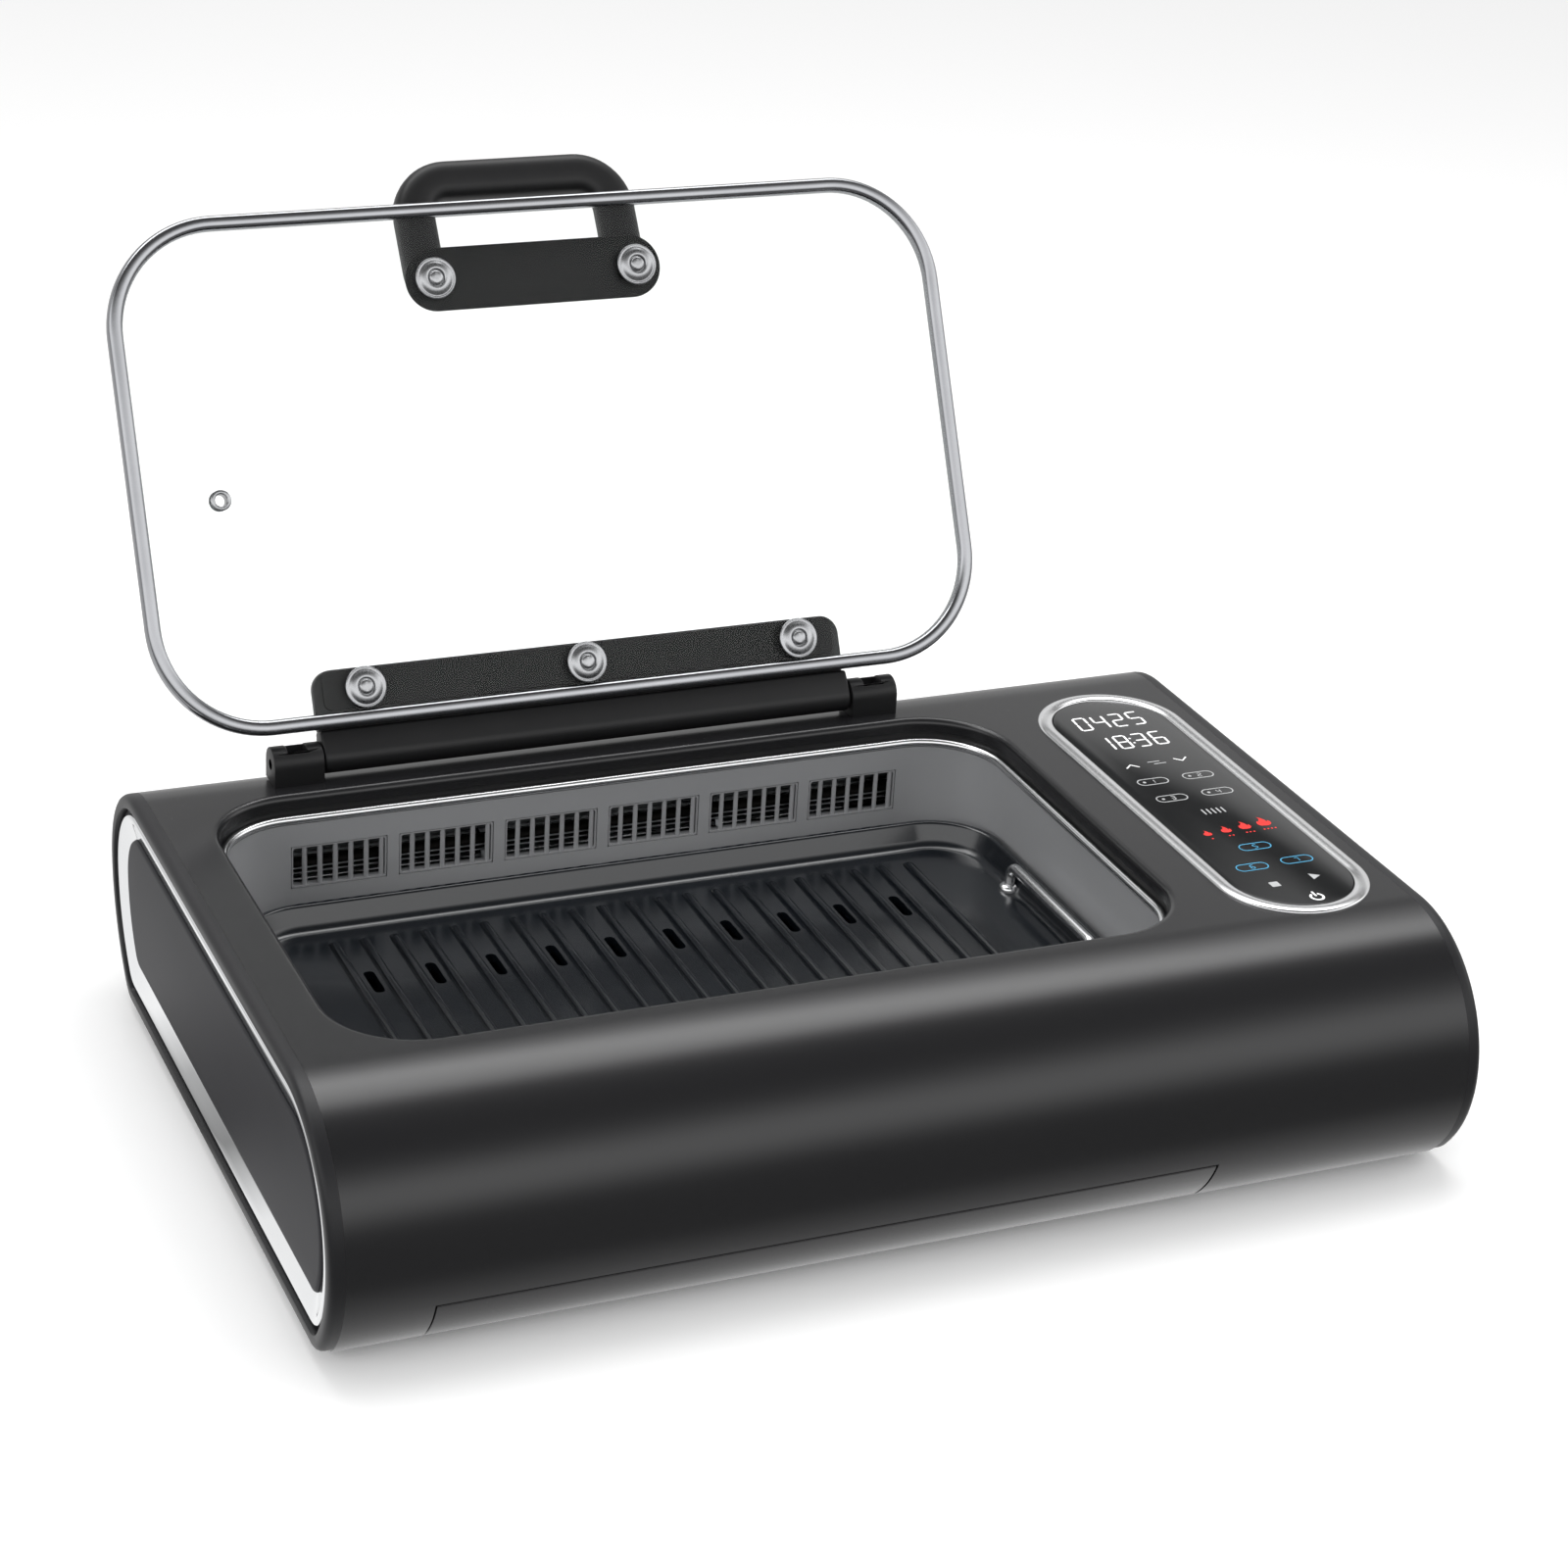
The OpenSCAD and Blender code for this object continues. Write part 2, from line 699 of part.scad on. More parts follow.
module fan_housing() {
    color("#8d9093") translate([0, fan_y, fan_z]) difference() {
        rod_x(bulk_left + bulk_t, bulk_right, scroll_r + scroll_t);
        rod_x(bulk_left + bulk_t + scroll_end, bulk_right - scroll_end, scroll_r);
        rod_x(bulk_left, bulk_right + eps, shaft_r + 6);
        block(bulk_left, bulk_right + eps, -end_r, -scroll_r / 2, -2 * end_r, 2 * end_r);
        block(bulk_left + bulk_t + scroll_end, bulk_right - scroll_end, -end_r, end_r, -end_r, -scroll_r / 1.4);
    }
}

module at_heater_rods() {
    for (dz = [-6, 6]) translate([0, open_y + liner_d / 2 + 14, vent_z - vent_h / 2 + dz]) children();
}

module air_heater() {
    left = open_x - open_w / 2 + 20;
    color("#4d4541") {
        at_heater_rods() rod_x(left, bulk_right + 12, element_r);
        translate([left, open_y + liner_d / 2 + 14, vent_z - vent_h / 2]) rotate([90, 0, 0])
            rotate([0, 0, 90]) half_turn(12);
    }
}

// ---- drip tray ----

module drip_tray() {
    color("#2a2b2d") translate([tray_x, 0, 0]) {
        difference() {
            block(-pan_w / 2, pan_w / 2, pan_front, pan_back, pan_z, pan_z + pan_h);
            block(-pan_w / 2 + tray_t, pan_w / 2 - tray_t, pan_front + tray_t, pan_back - tray_t,
                pan_z + tray_t, pan_z + pan_h + eps);
        }
        for (side = [-1, 1]) translate([side * (pan_w + flange_w) / 2, 0, pan_z + pan_h - tray_t])
            block(-flange_w / 2, flange_w / 2, pan_front, pan_back, 0, tray_t);
    }
}

module tray_front() {
    color("#3a3b3d") {
        intersection() {
            difference() {
                along_x(tray_x - tray_w, tray_x + tray_w) outline();
                along_x(tray_x - tray_w - eps, tray_x + tray_w + eps) outline(tray_front_t, -end_r);
            }
            tray_prism();
        }
        for (side = [-1, 1]) intersection() {
            along_x(tray_x + side * tray_w / 3 - 2, tray_x + side * tray_w / 3 + 2) outline(tray_front_t);
            block(-body_w, body_w, -body_d, pan_front, pan_z, pan_z + pan_h);
        }
    }
}

module tray_rails() {
    flange_z = pan_z + pan_h - tray_t;
    outer = pan_w / 2 + flange_w + seat;
    color("#8d9093") for (side = [-1, 1]) translate([tray_x, 0, 0]) mirror([side < 0 ? 1 : 0, 0, 0])
        difference() {
            block(pan_w / 2 + seat, outer + rail_wall, pan_front + 14, pan_back + 4,
                foot_h + base_t, flange_z + tray_t + 2);
            block(0, outer, pan_front, pan_back + seat, flange_z - 0.2, flange_z + tray_t + 0.3);
            block(0, outer - 2, pan_front, pan_back + 5, flange_z, flange_z + 2 * rail_w);
        }
}

// ---- controls ----

module control_ring() {
    hole_w = panel_w - 2 * band_w;
    color("#e1e2e3") translate([panel_x, panel_y, top_z]) difference() {
        union() {
            linear_extrude(ring_up) stadium(panel_w, panel_l);
            translate([0, 0, -ring_down]) linear_extrude(ring_down)
                stadium(panel_w - 2 * ring_lap, panel_l - 2 * ring_lap);
        }
        translate([0, 0, -ring_down - eps]) linear_extrude(ring_down + ring_up + 2 * eps)
            stadium(hole_w, panel_l - 2 * band_w);
    }
}

module control_glass() {
    color("#232426") translate([panel_x, panel_y, top_z + 0.8 - panel_glass_t]) linear_extrude(panel_glass_t)
        stadium(panel_w - 2 * band_w - 2 * glass_gap, panel_l - 2 * band_w - 2 * glass_gap);
}

module control_carrier() {
    w = panel_w - 2 * ring_lap;
    l = panel_l - 2 * ring_lap;
    color("#1d1e20") translate([panel_x, panel_y, top_z - ring_down - carrier_h]) difference() {
        linear_extrude(carrier_h) stadium(w, l);
        translate([0, 0, carrier_t]) linear_extrude(carrier_h) stadium(w - 2 * carrier_t, l - 2 * carrier_t);
        translate([0, 0, -eps]) linear_extrude(carrier_h) rounded(16, 60, 3);
    }
}

module control_board() {
    low = top_z - ring_down - carrier_h + carrier_t;
    color("#1f5a3a") translate([panel_x, panel_y, 0]) {
        translate([0, 0, board_z]) linear_extrude(board_t) rounded(panel_w - 20, panel_l - 60, 4);
        for (sx = [-1, 1], sy = [-1, 1]) translate([sx * 20, sy * (panel_l / 2 - 42), low])
            cylinder(h = board_z - low, r = 3);
    }
}

module display_module() {
    color("#0f1011") translate([panel_x, panel_y + panel_l / 2 - 52, board_z + board_t])
        block(-20, 20, -20, 20, 0, top_z + 0.8 - panel_glass_t - board_z - board_t);
}

module touch_springs() {
    color("#c4c5c7") for (i = [0:5], j = [-1, 1])
        translate([panel_x + j * 14, panel_y + panel_l / 2 - 96 - i * 20, board_z + board_t])
            cylinder(h = top_z + 0.8 - panel_glass_t - board_z - board_t, r = spring_d / 2, $fn = 24);
}

module at_board_posts() {
    for (sx = [-1, 1], sy = [-1, 1])
        translate([power_x + sx * (power_w / 2 - 5), power_y + sy * (power_l / 2 - 6), foot_h + base_t]) children();
}

module board_posts() {
    color("#d8d8d2") at_board_posts() cylinder(h = post_h, r = 3);
}

module power_board() {
    color("#1f5a3a") translate([power_x, power_y, foot_h + base_t + post_h])
        block(-power_w / 2, power_w / 2, -power_l / 2, power_l / 2, 0, board_t);
}

module power_parts() {
    color("#2d4f8a") translate([power_x, power_y, foot_h + base_t + post_h + board_t]) {
        for (i = [0, 1]) block(-28, -9, -60 + i * 24, -42 + i * 24, 0, 16);
        block(4, 30, -58, -34, 0, 22);
        block(-24, 0, 10, 40, 0, 14);
        for (i = [0:2]) translate([18, -12 + i * 16, 0]) cylinder(h = 20, r = 5);
    }
}

module power_inlet() {
    back = body_d / 2;
    color("#141415") difference() {
        union() {
            translate([gland_x, 0, foot_h + gland_z]) rotate([0, 0, 90]) rod_x(back - 26, back, gland_r - 2);
            difference() {
                translate([gland_x, 0, foot_h + gland_z]) rotate([0, 0, 90]) rod_x(back - 20, back + 8, gland_r);
                along_x(gland_x - 20, gland_x + 20) outline();
            }
            translate([gland_x, 0, foot_h + gland_z]) rotate([0, 0, 90])
                rod_x(back - 26, back - 22, gland_r + 1);
        }
        translate([gland_x, 0, foot_h + gland_z]) rotate([0, 0, 90]) rod_x(back - 30, back + 10, 3.5);
    }
}

module wiring() {
    board_y = power_y + power_l / 2 - 20;
    low = foot_h + base_t + post_h + board_t + 0.3;
    r = 1.5;
    color("#8f1f1f") {
        tube([[panel_x - 4, board_y, low], [panel_x - 4, board_y, low + 12], [panel_x - 3, board_y - 4, low + 40],
            [panel_x, 20, board_z - 14], [panel_x, 18, board_z - 0.5]], r);
        tube([[panel_x + 12, board_y + 6, low], [panel_x + 12, board_y + 7, low + 10],
            [bulk_right + 24, board_y + 30, fan_z - 20], [bulk_right + 20, fan_y - 40, fan_z - 13],
            [bulk_right + 20, fan_y - 30, fan_z - 8]], r);
    }
}

// ---- hinge ----

module at_towers() {
    for (side = [-1, 1]) translate([lid_x + side * tower_out, hinge_y, 0]) children();
}

module at_tower_screws() {
    at_towers() for (side = [-1, 1]) translate([side * 7, 0, top_z]) children();
}

module hinge_tower(side) {
    half = tower_w / 2;
    difference() {
        translate([lid_x + side * tower_out, hinge_y, hinge_z]) difference() {
            union() {
                block(-half, half, -tower_d / 2, tower_d / 2, -hinge_up - 5, 0);
                rod_x(-half, half, tower_r);
            }
            block(-tower_slot / 2, tower_slot / 2, -tower_d, tower_r + eps, -pin_r - 2.2, tower_r + eps);
            rod_x(-half - eps, half + eps, pin_r);
        }
        along_x(-body_w / 2, body_w / 2) outline();
        at_tower_screws() translate([0, 0, -5]) cylinder(h = 10, r = screw_r);
    }
}

module left_hinge_tower() { color("#161617") hinge_tower(-1); }
module right_hinge_tower() { color("#161617") hinge_tower(1); }

module tower_screws() {
    screw_low = -sleeve_t - 0.8;
    color("#b9bbbd") at_tower_screws() {
        translate([0, 0, screw_low]) cylinder(h = 5 - screw_low, r = screw_r);
        translate([0, 0, screw_low - 2]) cylinder(h = 2, r = screw_head_r);
    }
}

module hinge_pins() {
    color("#a9abad") for (side = [0, 1]) translate([lid_x, hinge_y, hinge_z]) mirror([side, 0, 0])
        rod_x(bar_half - lid_pin_l, tower_out + tower_w / 2, pin_r);
}

// Coil radius, wire radius and turns are for a light torsion spring round each pin
module hinge_springs() {
    coil_r = pin_r + 1.1;
    wire_r = 0.6;
    turns = 4;
    steps = 12;
    span = tower_slot - 2.4 * wire_r;
    color("#c9cacc") at_towers() translate([-span / 2, 0, hinge_z])
        tube([for (i = [0:turns * steps]) let (a = 360 * i / steps)
            [span * i / (turns * steps), coil_r * cos(a), coil_r * sin(a)]], wire_r);
}

// ---- lid, drawn closed and flat ----

module hinge_bar() {
    color("#151516") on_lid() difference() {
        union() {
            rod_x(-bar_half, bar_half, bar_r);
            block(-bar_half, bar_half, 0, lid_back - seat, bar_plate_low - 4, bar_plate_low + bar_plate_t);
            translate([0, bar_plate_end / 2 + 3, bar_plate_low]) linear_extrude(bar_plate_t)
                rounded(2 * bar_half, bar_plate_end - 6, 9);
        }
        rod_x(-bar_half - eps, -bar_half + lid_pin_l + 1, pin_r + fit);
        rod_x(bar_half - lid_pin_l - 1, bar_half + eps, pin_r + fit);
        at_lid_screws() translate([0, 0, bar_plate_low - eps]) cylinder(h = bar_plate_t - 1, r = screw_r);
    }
}

module hinge_pad() {
    start = lid_back + lid_rim_w + seat;
    color("#222223") on_lid() translate([0, 0, glass_top]) linear_extrude(bar_plate_low - glass_top)
        difference() {
            translate([0, (start + bar_plate_end) / 2]) rounded(2 * bar_half - 8, bar_plate_end - start - 1, 4);
            at_lid_screws() circle(screw_r + fit);
        }
}

module lid_glass() {
    color("#cfd8da") on_lid() translate([0, 0, glass_low]) linear_extrude(glass_t) difference() {
        translate([0, lid_mid]) rounded(lid_w - 2 * glass_in, lid_d - 2 * glass_in, lid_r - glass_in);
        at_lid_screws() circle(screw_r + seat);
        translate([vent_eye_x, vent_eye_s]) circle(vent_eye_r - 1);
    }
}

module lid_rim() {
    color("#d8d9da") on_lid() translate([0, lid_mid, rim_low]) difference() {
        linear_extrude(lid_rim_t) ring2d(lid_w, lid_d, lid_r, lid_rim_w);
        translate([0, 0, glass_low - rim_low]) linear_extrude(glass_t)
            rounded(lid_w - 2 * glass_in, lid_d - 2 * glass_in, lid_r - glass_in);
    }
}

module steam_eyelet() {
    color("#d8d9da") on_lid() translate([vent_eye_x, vent_eye_s, 0]) difference() {
        union() {
            translate([0, 0, glass_low - 0.8]) cylinder(h = 0.8, r = vent_eye_r);
            translate([0, 0, glass_low]) cylinder(h = glass_t, r = vent_eye_r - 1);
            translate([0, 0, glass_top]) cylinder(h = 0.8, r = vent_eye_r);
        }
        translate([0, 0, glass_low - 2]) cylinder(h = glass_t + 4, r = vent_eye_r - 2);
    }
}

module handle_pad() {
    color("#222223") on_lid() translate([0, 0, glass_top]) linear_extrude(pad_t) difference() {
        translate([0, handle_s]) rounded(pad_w, pad_d, pad_d / 2 - 0.1);
        at_lid_screws() circle(screw_r + fit);
    }
}

module lid_handle() {
    outer = handle_pitch / 2 + handle_leg / 2;
    inner = outer - handle_leg;
    rise = handle_t / 2 + 2;
    color("#161617") on_lid() difference() {
        union() {
            translate([0, handle_s, handle_foot + rise]) rotate([handle_tilt, 0, 0])
                translate([0, 0, -handle_t / 2]) linear_extrude(handle_t) difference() {
                    union() {
                        translate([0, handle_reach / 2]) rounded(2 * outer, handle_reach, handle_corner);
                        translate([-outer, -handle_tail])
                            square([2 * outer, handle_reach / 2 + handle_tail]);
                    }
                    translate([0, handle_inner / 2]) rounded(2 * inner, handle_inner, 11);
                    translate([-inner, -handle_tail - eps])
                        square([2 * inner, handle_inner / 2 + handle_tail + eps]);
                }
            for (side = [-1, 1]) translate([side * handle_pitch / 2, handle_s, handle_foot])
                cylinder(h = rise, r = handle_leg / 2);
        }
        translate([-body_w, -body_d, handle_foot - end_r]) cube([2 * body_w, 4 * body_d, end_r]);
        at_lid_screws() translate([0, 0, handle_foot - eps]) cylinder(h = rise, r = screw_r);
    }
}

module lid_washers() {
    r = washer_d / 2;
    color("#d5d6d8") on_lid() at_lid_screws() translate([0, 0, glass_low]) mirror([0, 0, 1]) difference() {
        union() {
            cylinder(h = 1, r = r);
            cylinder(h = 2.2, r = r - 2.5);
        }
        translate([0, 0, 1]) cylinder(h = 2, r = screw_head_r + 0.6);
        translate([0, 0, -eps]) cylinder(h = 2, r = screw_r + fit);
    }
}

module lid_screws() {
    top = bar_plate_low + bar_plate_t - 1.6;
    head = glass_low - 1;
    color("#c3c4c6") on_lid() at_lid_screws() difference() {
        union() {
            translate([0, 0, head]) cylinder(h = top - head, r = screw_r);
            translate([0, 0, head - 1.6]) cylinder(h = 1.6, r = screw_head_r);
        }
        for (a = [0, 90]) rotate([0, 0, a]) block(-2.2, 2.2, -0.4, 0.4, head - 1.6 - eps, head - 0.6);
    }
}

sleeve();
base_pan();
feet();
base_screws();
left_bulkhead();
right_bulkhead();
left_end_cap();
right_end_cap();
left_trim_ring();
right_trim_ring();
left_side_panel();
right_side_panel();
opening_collar();
liner_rim();
cooking_liner();
vent_louvres();
vent_guard();
grill_plate();
plate_handles();
heating_element();
element_brackets();
temperature_probe();
thermal_fuse();
fan_impeller();
fan_shaft();
fan_bearing();
fan_motor();
motor_coil();
fan_housing();
air_heater();
drip_tray();
tray_front();
tray_rails();
control_ring();
control_glass();
control_carrier();
control_board();
display_module();
touch_springs();
power_board();
power_parts();
board_posts();
power_inlet();
wiring();
left_hinge_tower();
right_hinge_tower();
tower_screws();
hinge_pins();
hinge_springs();
hinge_bar();
hinge_pad();
lid_glass();
lid_rim();
steam_eyelet();
handle_pad();
lid_handle();
lid_washers();
lid_screws();
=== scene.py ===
import json
import math

import bmesh
import bpy
from mathutils import Matrix, Vector


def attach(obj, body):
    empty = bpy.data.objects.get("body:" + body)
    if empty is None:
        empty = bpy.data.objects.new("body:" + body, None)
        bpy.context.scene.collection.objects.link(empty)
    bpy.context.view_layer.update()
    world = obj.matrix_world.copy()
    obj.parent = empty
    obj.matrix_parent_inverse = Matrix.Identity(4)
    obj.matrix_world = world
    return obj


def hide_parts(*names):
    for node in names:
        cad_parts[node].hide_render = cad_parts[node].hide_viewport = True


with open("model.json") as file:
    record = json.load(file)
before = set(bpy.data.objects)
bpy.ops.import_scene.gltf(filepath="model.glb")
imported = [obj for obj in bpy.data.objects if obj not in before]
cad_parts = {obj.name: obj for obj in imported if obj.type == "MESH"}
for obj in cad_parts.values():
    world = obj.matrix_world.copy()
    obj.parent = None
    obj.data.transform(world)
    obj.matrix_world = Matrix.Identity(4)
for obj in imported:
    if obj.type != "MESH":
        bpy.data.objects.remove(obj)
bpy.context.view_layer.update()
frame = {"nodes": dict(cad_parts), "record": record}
nodes = frame["nodes"]
mm = 0.001
print("frame loaded with", len(nodes), "nodes")


# Colours, nodes and materials
def toLinear(hexColour):
    parts = [int(hexColour[i:i + 2], 16) / 255 for i in (1, 3, 5)]
    return tuple(c / 12.92 if c <= 0.04045 else ((c + 0.055) / 1.055) ** 2.4 for c in parts) + (1.0,)


def addNode(tree, kind, settings=None, values=None, links=None):
    node = tree.nodes.new(kind)
    for key, value in (settings or {}).items():
        setattr(node, key, value)
    for key, value in (values or {}).items():
        node.inputs[key].default_value = value
    for key, socket in (links or {}).items():
        tree.links.new(socket, node.inputs[key])
    return node


def startMaterial(name, colour, roughness, **values):
    material = bpy.data.materials.new(name)
    material.use_nodes = True
    tree = material.node_tree
    tree.nodes.clear()
    named = {key.replace("_", " "): value for key, value in values.items()}
    shader = addNode(tree, "ShaderNodeBsdfPrincipled",
                     values={"Base Color": toLinear(colour), "Roughness": roughness, **named})
    addNode(tree, "ShaderNodeOutputMaterial", links={"Surface": shader.outputs[0]})
    return material, tree, shader


look = {}


# Adds a finish made of two noises. The cloud, cloudSize wide, runs between the two tones; the grain,
# grainSize wide, moves the roughness within its range and raises bumps bumpDepth high. Sizes are mm.
def addLook(name, tones, rough, grainSize, bumpDepth, cloudSize, stretch=(1, 1, 1), **values):
    material, tree, shader = startMaterial(name, tones[0], rough[0], **values)
    place = addNode(tree, "ShaderNodeTexCoord").outputs["Object"]
    pulled = addNode(tree, "ShaderNodeMapping", values={"Scale": stretch}, links={"Vector": place})
    cloud = addNode(tree, "ShaderNodeTexNoise", values={"Scale": 1000 / cloudSize, "Detail": 3.0},
                    links={"Vector": place})
    tint = addNode(tree, "ShaderNodeMix", settings={"data_type": "RGBA"},
                   values={6: toLinear(tones[0]), 7: toLinear(tones[1])}, links={0: cloud.outputs[0]})
    grain = addNode(tree, "ShaderNodeTexNoise", values={"Scale": 1000 / grainSize, "Detail": 2.0},
                    links={"Vector": pulled.outputs[0]})
    gloss = addNode(tree, "ShaderNodeMapRange", values={"To Min": rough[0], "To Max": rough[1]},
                    links={"Value": grain.outputs[0]})
    bump = addNode(tree, "ShaderNodeBump", values={"Strength": 0.5, "Distance": bumpDepth * mm},
                   links={"Height": grain.outputs[0]})
    tree.links.new(tint.outputs[2], shader.inputs["Base Color"])
    tree.links.new(gloss.outputs[0], shader.inputs["Roughness"])
    tree.links.new(bump.outputs[0], shader.inputs["Normal"])
    look[name] = material


# The grain of paint, moulding, enamel and plating is really about 0.2 mm, too fine to show in the picture,
# so it is drawn at 0.5 to 1 mm. Spangle, clouds and drawing lines have their real size.

# satin powder coat on sheet steel: deep black with long soft highlights and a faint orange peel
addLook("satinPowderCoat", ("#19191b", "#1c1c1d"), (0.22, 0.29), 0.9, 0.008, 120, Specular_IOR_Level=0.5)
# spark-textured moulded ABS: dark grey, even and dull
addLook("mouldedAbs", ("#1a1a1c", "#1f1f21"), (0.36, 0.46), 0.6, 0.015, 60, Specular_IOR_Level=0.3)
# smooth satin ABS panel: a little lighter than the cap, with hardly any shine
addLook("satinAbsPanel", ("#27272a", "#2c2c2f"), (0.46, 0.56), 0.5, 0.012, 60, Specular_IOR_Level=0.15)
# bright chrome plate: a mirror with the faintest haze
addLook("chromePlate", ("#dedfe0", "#e8e9ea"), (0.05, 0.12), 4, 0.001, 40, Metallic=1.0)
# satin chrome: a white sheen that fades to grey
addLook("satinChrome", ("#dcddde", "#e8e8e9"), (0.16, 0.24), 1.5, 0.001, 40, Metallic=1.0)
# rolled stainless steel, polished along its length: bright and dark streaks that follow the rim
addLook("polishedStainless", ("#939497", "#a5a6a9"), (0.13, 0.22), 0.5, 0.002, 30, Metallic=1.0)
# bright zinc-plated pressed steel of washers and screws: soft sparkle
addLook("zincPlate", ("#97989a", "#b6b7b9"), (0.2, 0.36), 0.5, 0.004, 6, Metallic=1.0)
# drawn aluminised steel liner: grey satin with faint drawing lines round it
addLook("drawnLiner", ("#9fa0a2", "#adaeb0"), (0.36, 0.48), 0.7, 0.004, 90, (0.04, 0.04, 1), Metallic=0.25)
# non-stick enamel on cast metal: blue-black and glossy, with fine stipple
addLook("castEnamel", ("#090c10", "#0e1319"), (0.14, 0.27), 0.8, 0.02, 40, Coat_Weight=0.4, Coat_Roughness=0.12)
# black paint inside the opening, made darker than the casing's paint as painted shade for the recess: near black
# with a low sheen
addLook("recessPaint", ("#0b0b0c", "#101011"), (0.3, 0.42), 0.8, 0.01, 60)
# glass-filled phenolic of handle and hinge: matte black with a cloudy bloom
addLook("phenolic", ("#121213", "#19191a"), (0.36, 0.5), 0.7, 0.02, 12, Specular_IOR_Level=0.35)
# silicone gasket pad: flat black, slightly dusty
addLook("siliconePad", ("#0e0e0f", "#131314"), (0.48, 0.62), 0.8, 0.01, 20, Specular_IOR_Level=0.25)
# hard rubber foot: charcoal without shine, slightly rough
addLook("footRubber", ("#161617", "#1f1f20"), (0.62, 0.8), 0.6, 0.03, 15)
# enamelled drip pan: dark with a soft gloss
addLook("panEnamel", ("#202124", "#27282b"), (0.28, 0.4), 0.9, 0.01, 80)
# galvanised sheet inside the casing: pale grey with dull spangle
addLook("galvanisedSheet", ("#8c8f92", "#a7aaad"), (0.34, 0.5), 4, 0.004, 9, Metallic=0.9)
# oxidised heater sheath: brown-black metal that hardly shines
addLook("heaterSheath", ("#100e0c", "#191613"), (0.52, 0.68), 1.2, 0.01, 14,
        Metallic=0.4, Specular_IOR_Level=0.25)
# cast aluminium fan wheel: soft silver grey, a little grainy
addLook("castAluminium", ("#9a9da0", "#b1b4b7"), (0.3, 0.42), 0.8, 0.01, 20, Metallic=1.0)
# ground steel of shaft, pins and springs: bright, with fine marks round it
addLook("groundSteel", ("#b7b9bb", "#cdcfd1"), (0.18, 0.28), 0.5, 0.002, 12, (0.1, 1, 1), Metallic=1.0)
# sintered bronze bearing: dull gold, porous
addLook("sinteredBronze", ("#96722f", "#b18a47"), (0.34, 0.48), 0.5, 0.01, 8, Metallic=1.0)
# stacked steel plates of the motor: mid grey, dull and slightly rough
addLook("motorLamination", ("#626568", "#76797c"), (0.4, 0.52), 0.6, 0.02, 10, Metallic=0.8)
# enamelled copper winding: red-brown with a lacquered shine
addLook("enamelledCopper", ("#964e20", "#b76731"), (0.28, 0.42), 0.5, 0.02, 6, Metallic=0.9)
# green solder-masked circuit board: waxy green gloss
addLook("circuitBoard", ("#1b5234", "#236241"), (0.28, 0.42), 0.7, 0.005, 10)
# shrunk vinyl sleeve on capacitors: satin blue
addLook("blueCapacitorSleeve", ("#26447a", "#315491"), (0.34, 0.46), 0.6, 0.005, 8)
# unfilled nylon posts: milky white, waxy
addLook("naturalNylon", ("#cfcfc7", "#dcdcd6"), (0.44, 0.56), 0.5, 0.01, 8)
# silicone wire sleeve: deep red and soft
addLook("redWireSleeve", ("#841a1a", "#9a2626"), (0.4, 0.5), 0.5, 0.005, 8)
# back-painted touch glass: charcoal under a clear hard gloss
addLook("touchGlass", ("#131415", "#18191a"), (0.1, 0.14), 6, 0.0005, 90, Specular_IOR_Level=0.32)
# screen inks on the glass: flat colours that the lamps under them light up a little
for name, tones, shine, strength in (
        ("whiteInk", ("#e9e9ea", "#f6f6f6"), "#f4f4f4", 0.35),
        ("greyInk", ("#adaeaf", "#bbbcbd"), "#b4b5b6", 0.15),
        ("redInk", ("#dc1f1a", "#e82a23"), "#e8241e", 0.3),
        ("blueInk", ("#3e8fb5", "#499fc5"), "#4397bd", 0.25)):
    addLook(name, tones, (0.45, 0.55), 1, 0.001, 10, Emission_Color=toLinear(shine), Emission_Strength=strength)

# tempered float glass: as clear as in the picture, so it bends and mirrors little; lamps shine through it
material, tree, shader = startMaterial("temperedGlass", "#fcfefd", 0.0, Transmission_Weight=1.0, IOR=1.16)
clear = addNode(tree, "ShaderNodeBsdfTransparent", values={"Color": (0.96, 0.97, 0.965, 1)})
rays = addNode(tree, "ShaderNodeLightPath")
mixed = addNode(tree, "ShaderNodeMixShader",
                links={0: rays.outputs["Is Shadow Ray"], 1: shader.outputs[0], 2: clear.outputs[0]})
tree.links.new(mixed.outputs[0], tree.nodes["Material Output"].inputs["Surface"])
look["temperedGlass"] = material

slotLooks = {
    "black_paint": "satinPowderCoat", "pan_steel": "panEnamel", "foot_rubber": "footRubber",
    "zinc_steel": "galvanisedSheet", "cap_plastic": "mouldedAbs", "side_plastic": "satinAbsPanel",
    "bright_chrome": "chromePlate", "recess_black": "recessPaint", "rim_steel": "polishedStainless",
    "liner_steel": "drawnLiner", "plate_enamel": "castEnamel", "element_steel": "heaterSheath",
    "fan_aluminium": "castAluminium", "shaft_steel": "groundSteel", "bearing_bronze": "sinteredBronze",
    "motor_steel": "motorLamination", "copper_winding": "enamelledCopper", "dark_glass": "touchGlass",
    "board_resin": "circuitBoard", "spring_steel": "groundSteel", "part_plastic": "blueCapacitorSleeve",
    "post_nylon": "naturalNylon", "black_plastic": "phenolic", "wire_sleeve": "redWireSleeve",
    "clear_glass": "temperedGlass",
}
slots = {row["node"]: row["material_slot"] for row in frame["record"]["subparts"]}
for node, slotName in slots.items():
    nodes[node].data.materials.clear()
    nodes[node].data.materials.append(look[slotLooks[slotName]])
print("materials made:", len(look))


# Shapes that several pieces share. Points are millimetres, and a part is (points, faces).
def arcPoints(centre, radius, start, end, steps):
    turns = [math.radians(start + (end - start) * i / steps) for i in range(steps + 1)]
    return [(centre[0] + radius * math.cos(t), centre[1] + radius * math.sin(t)) for t in turns]


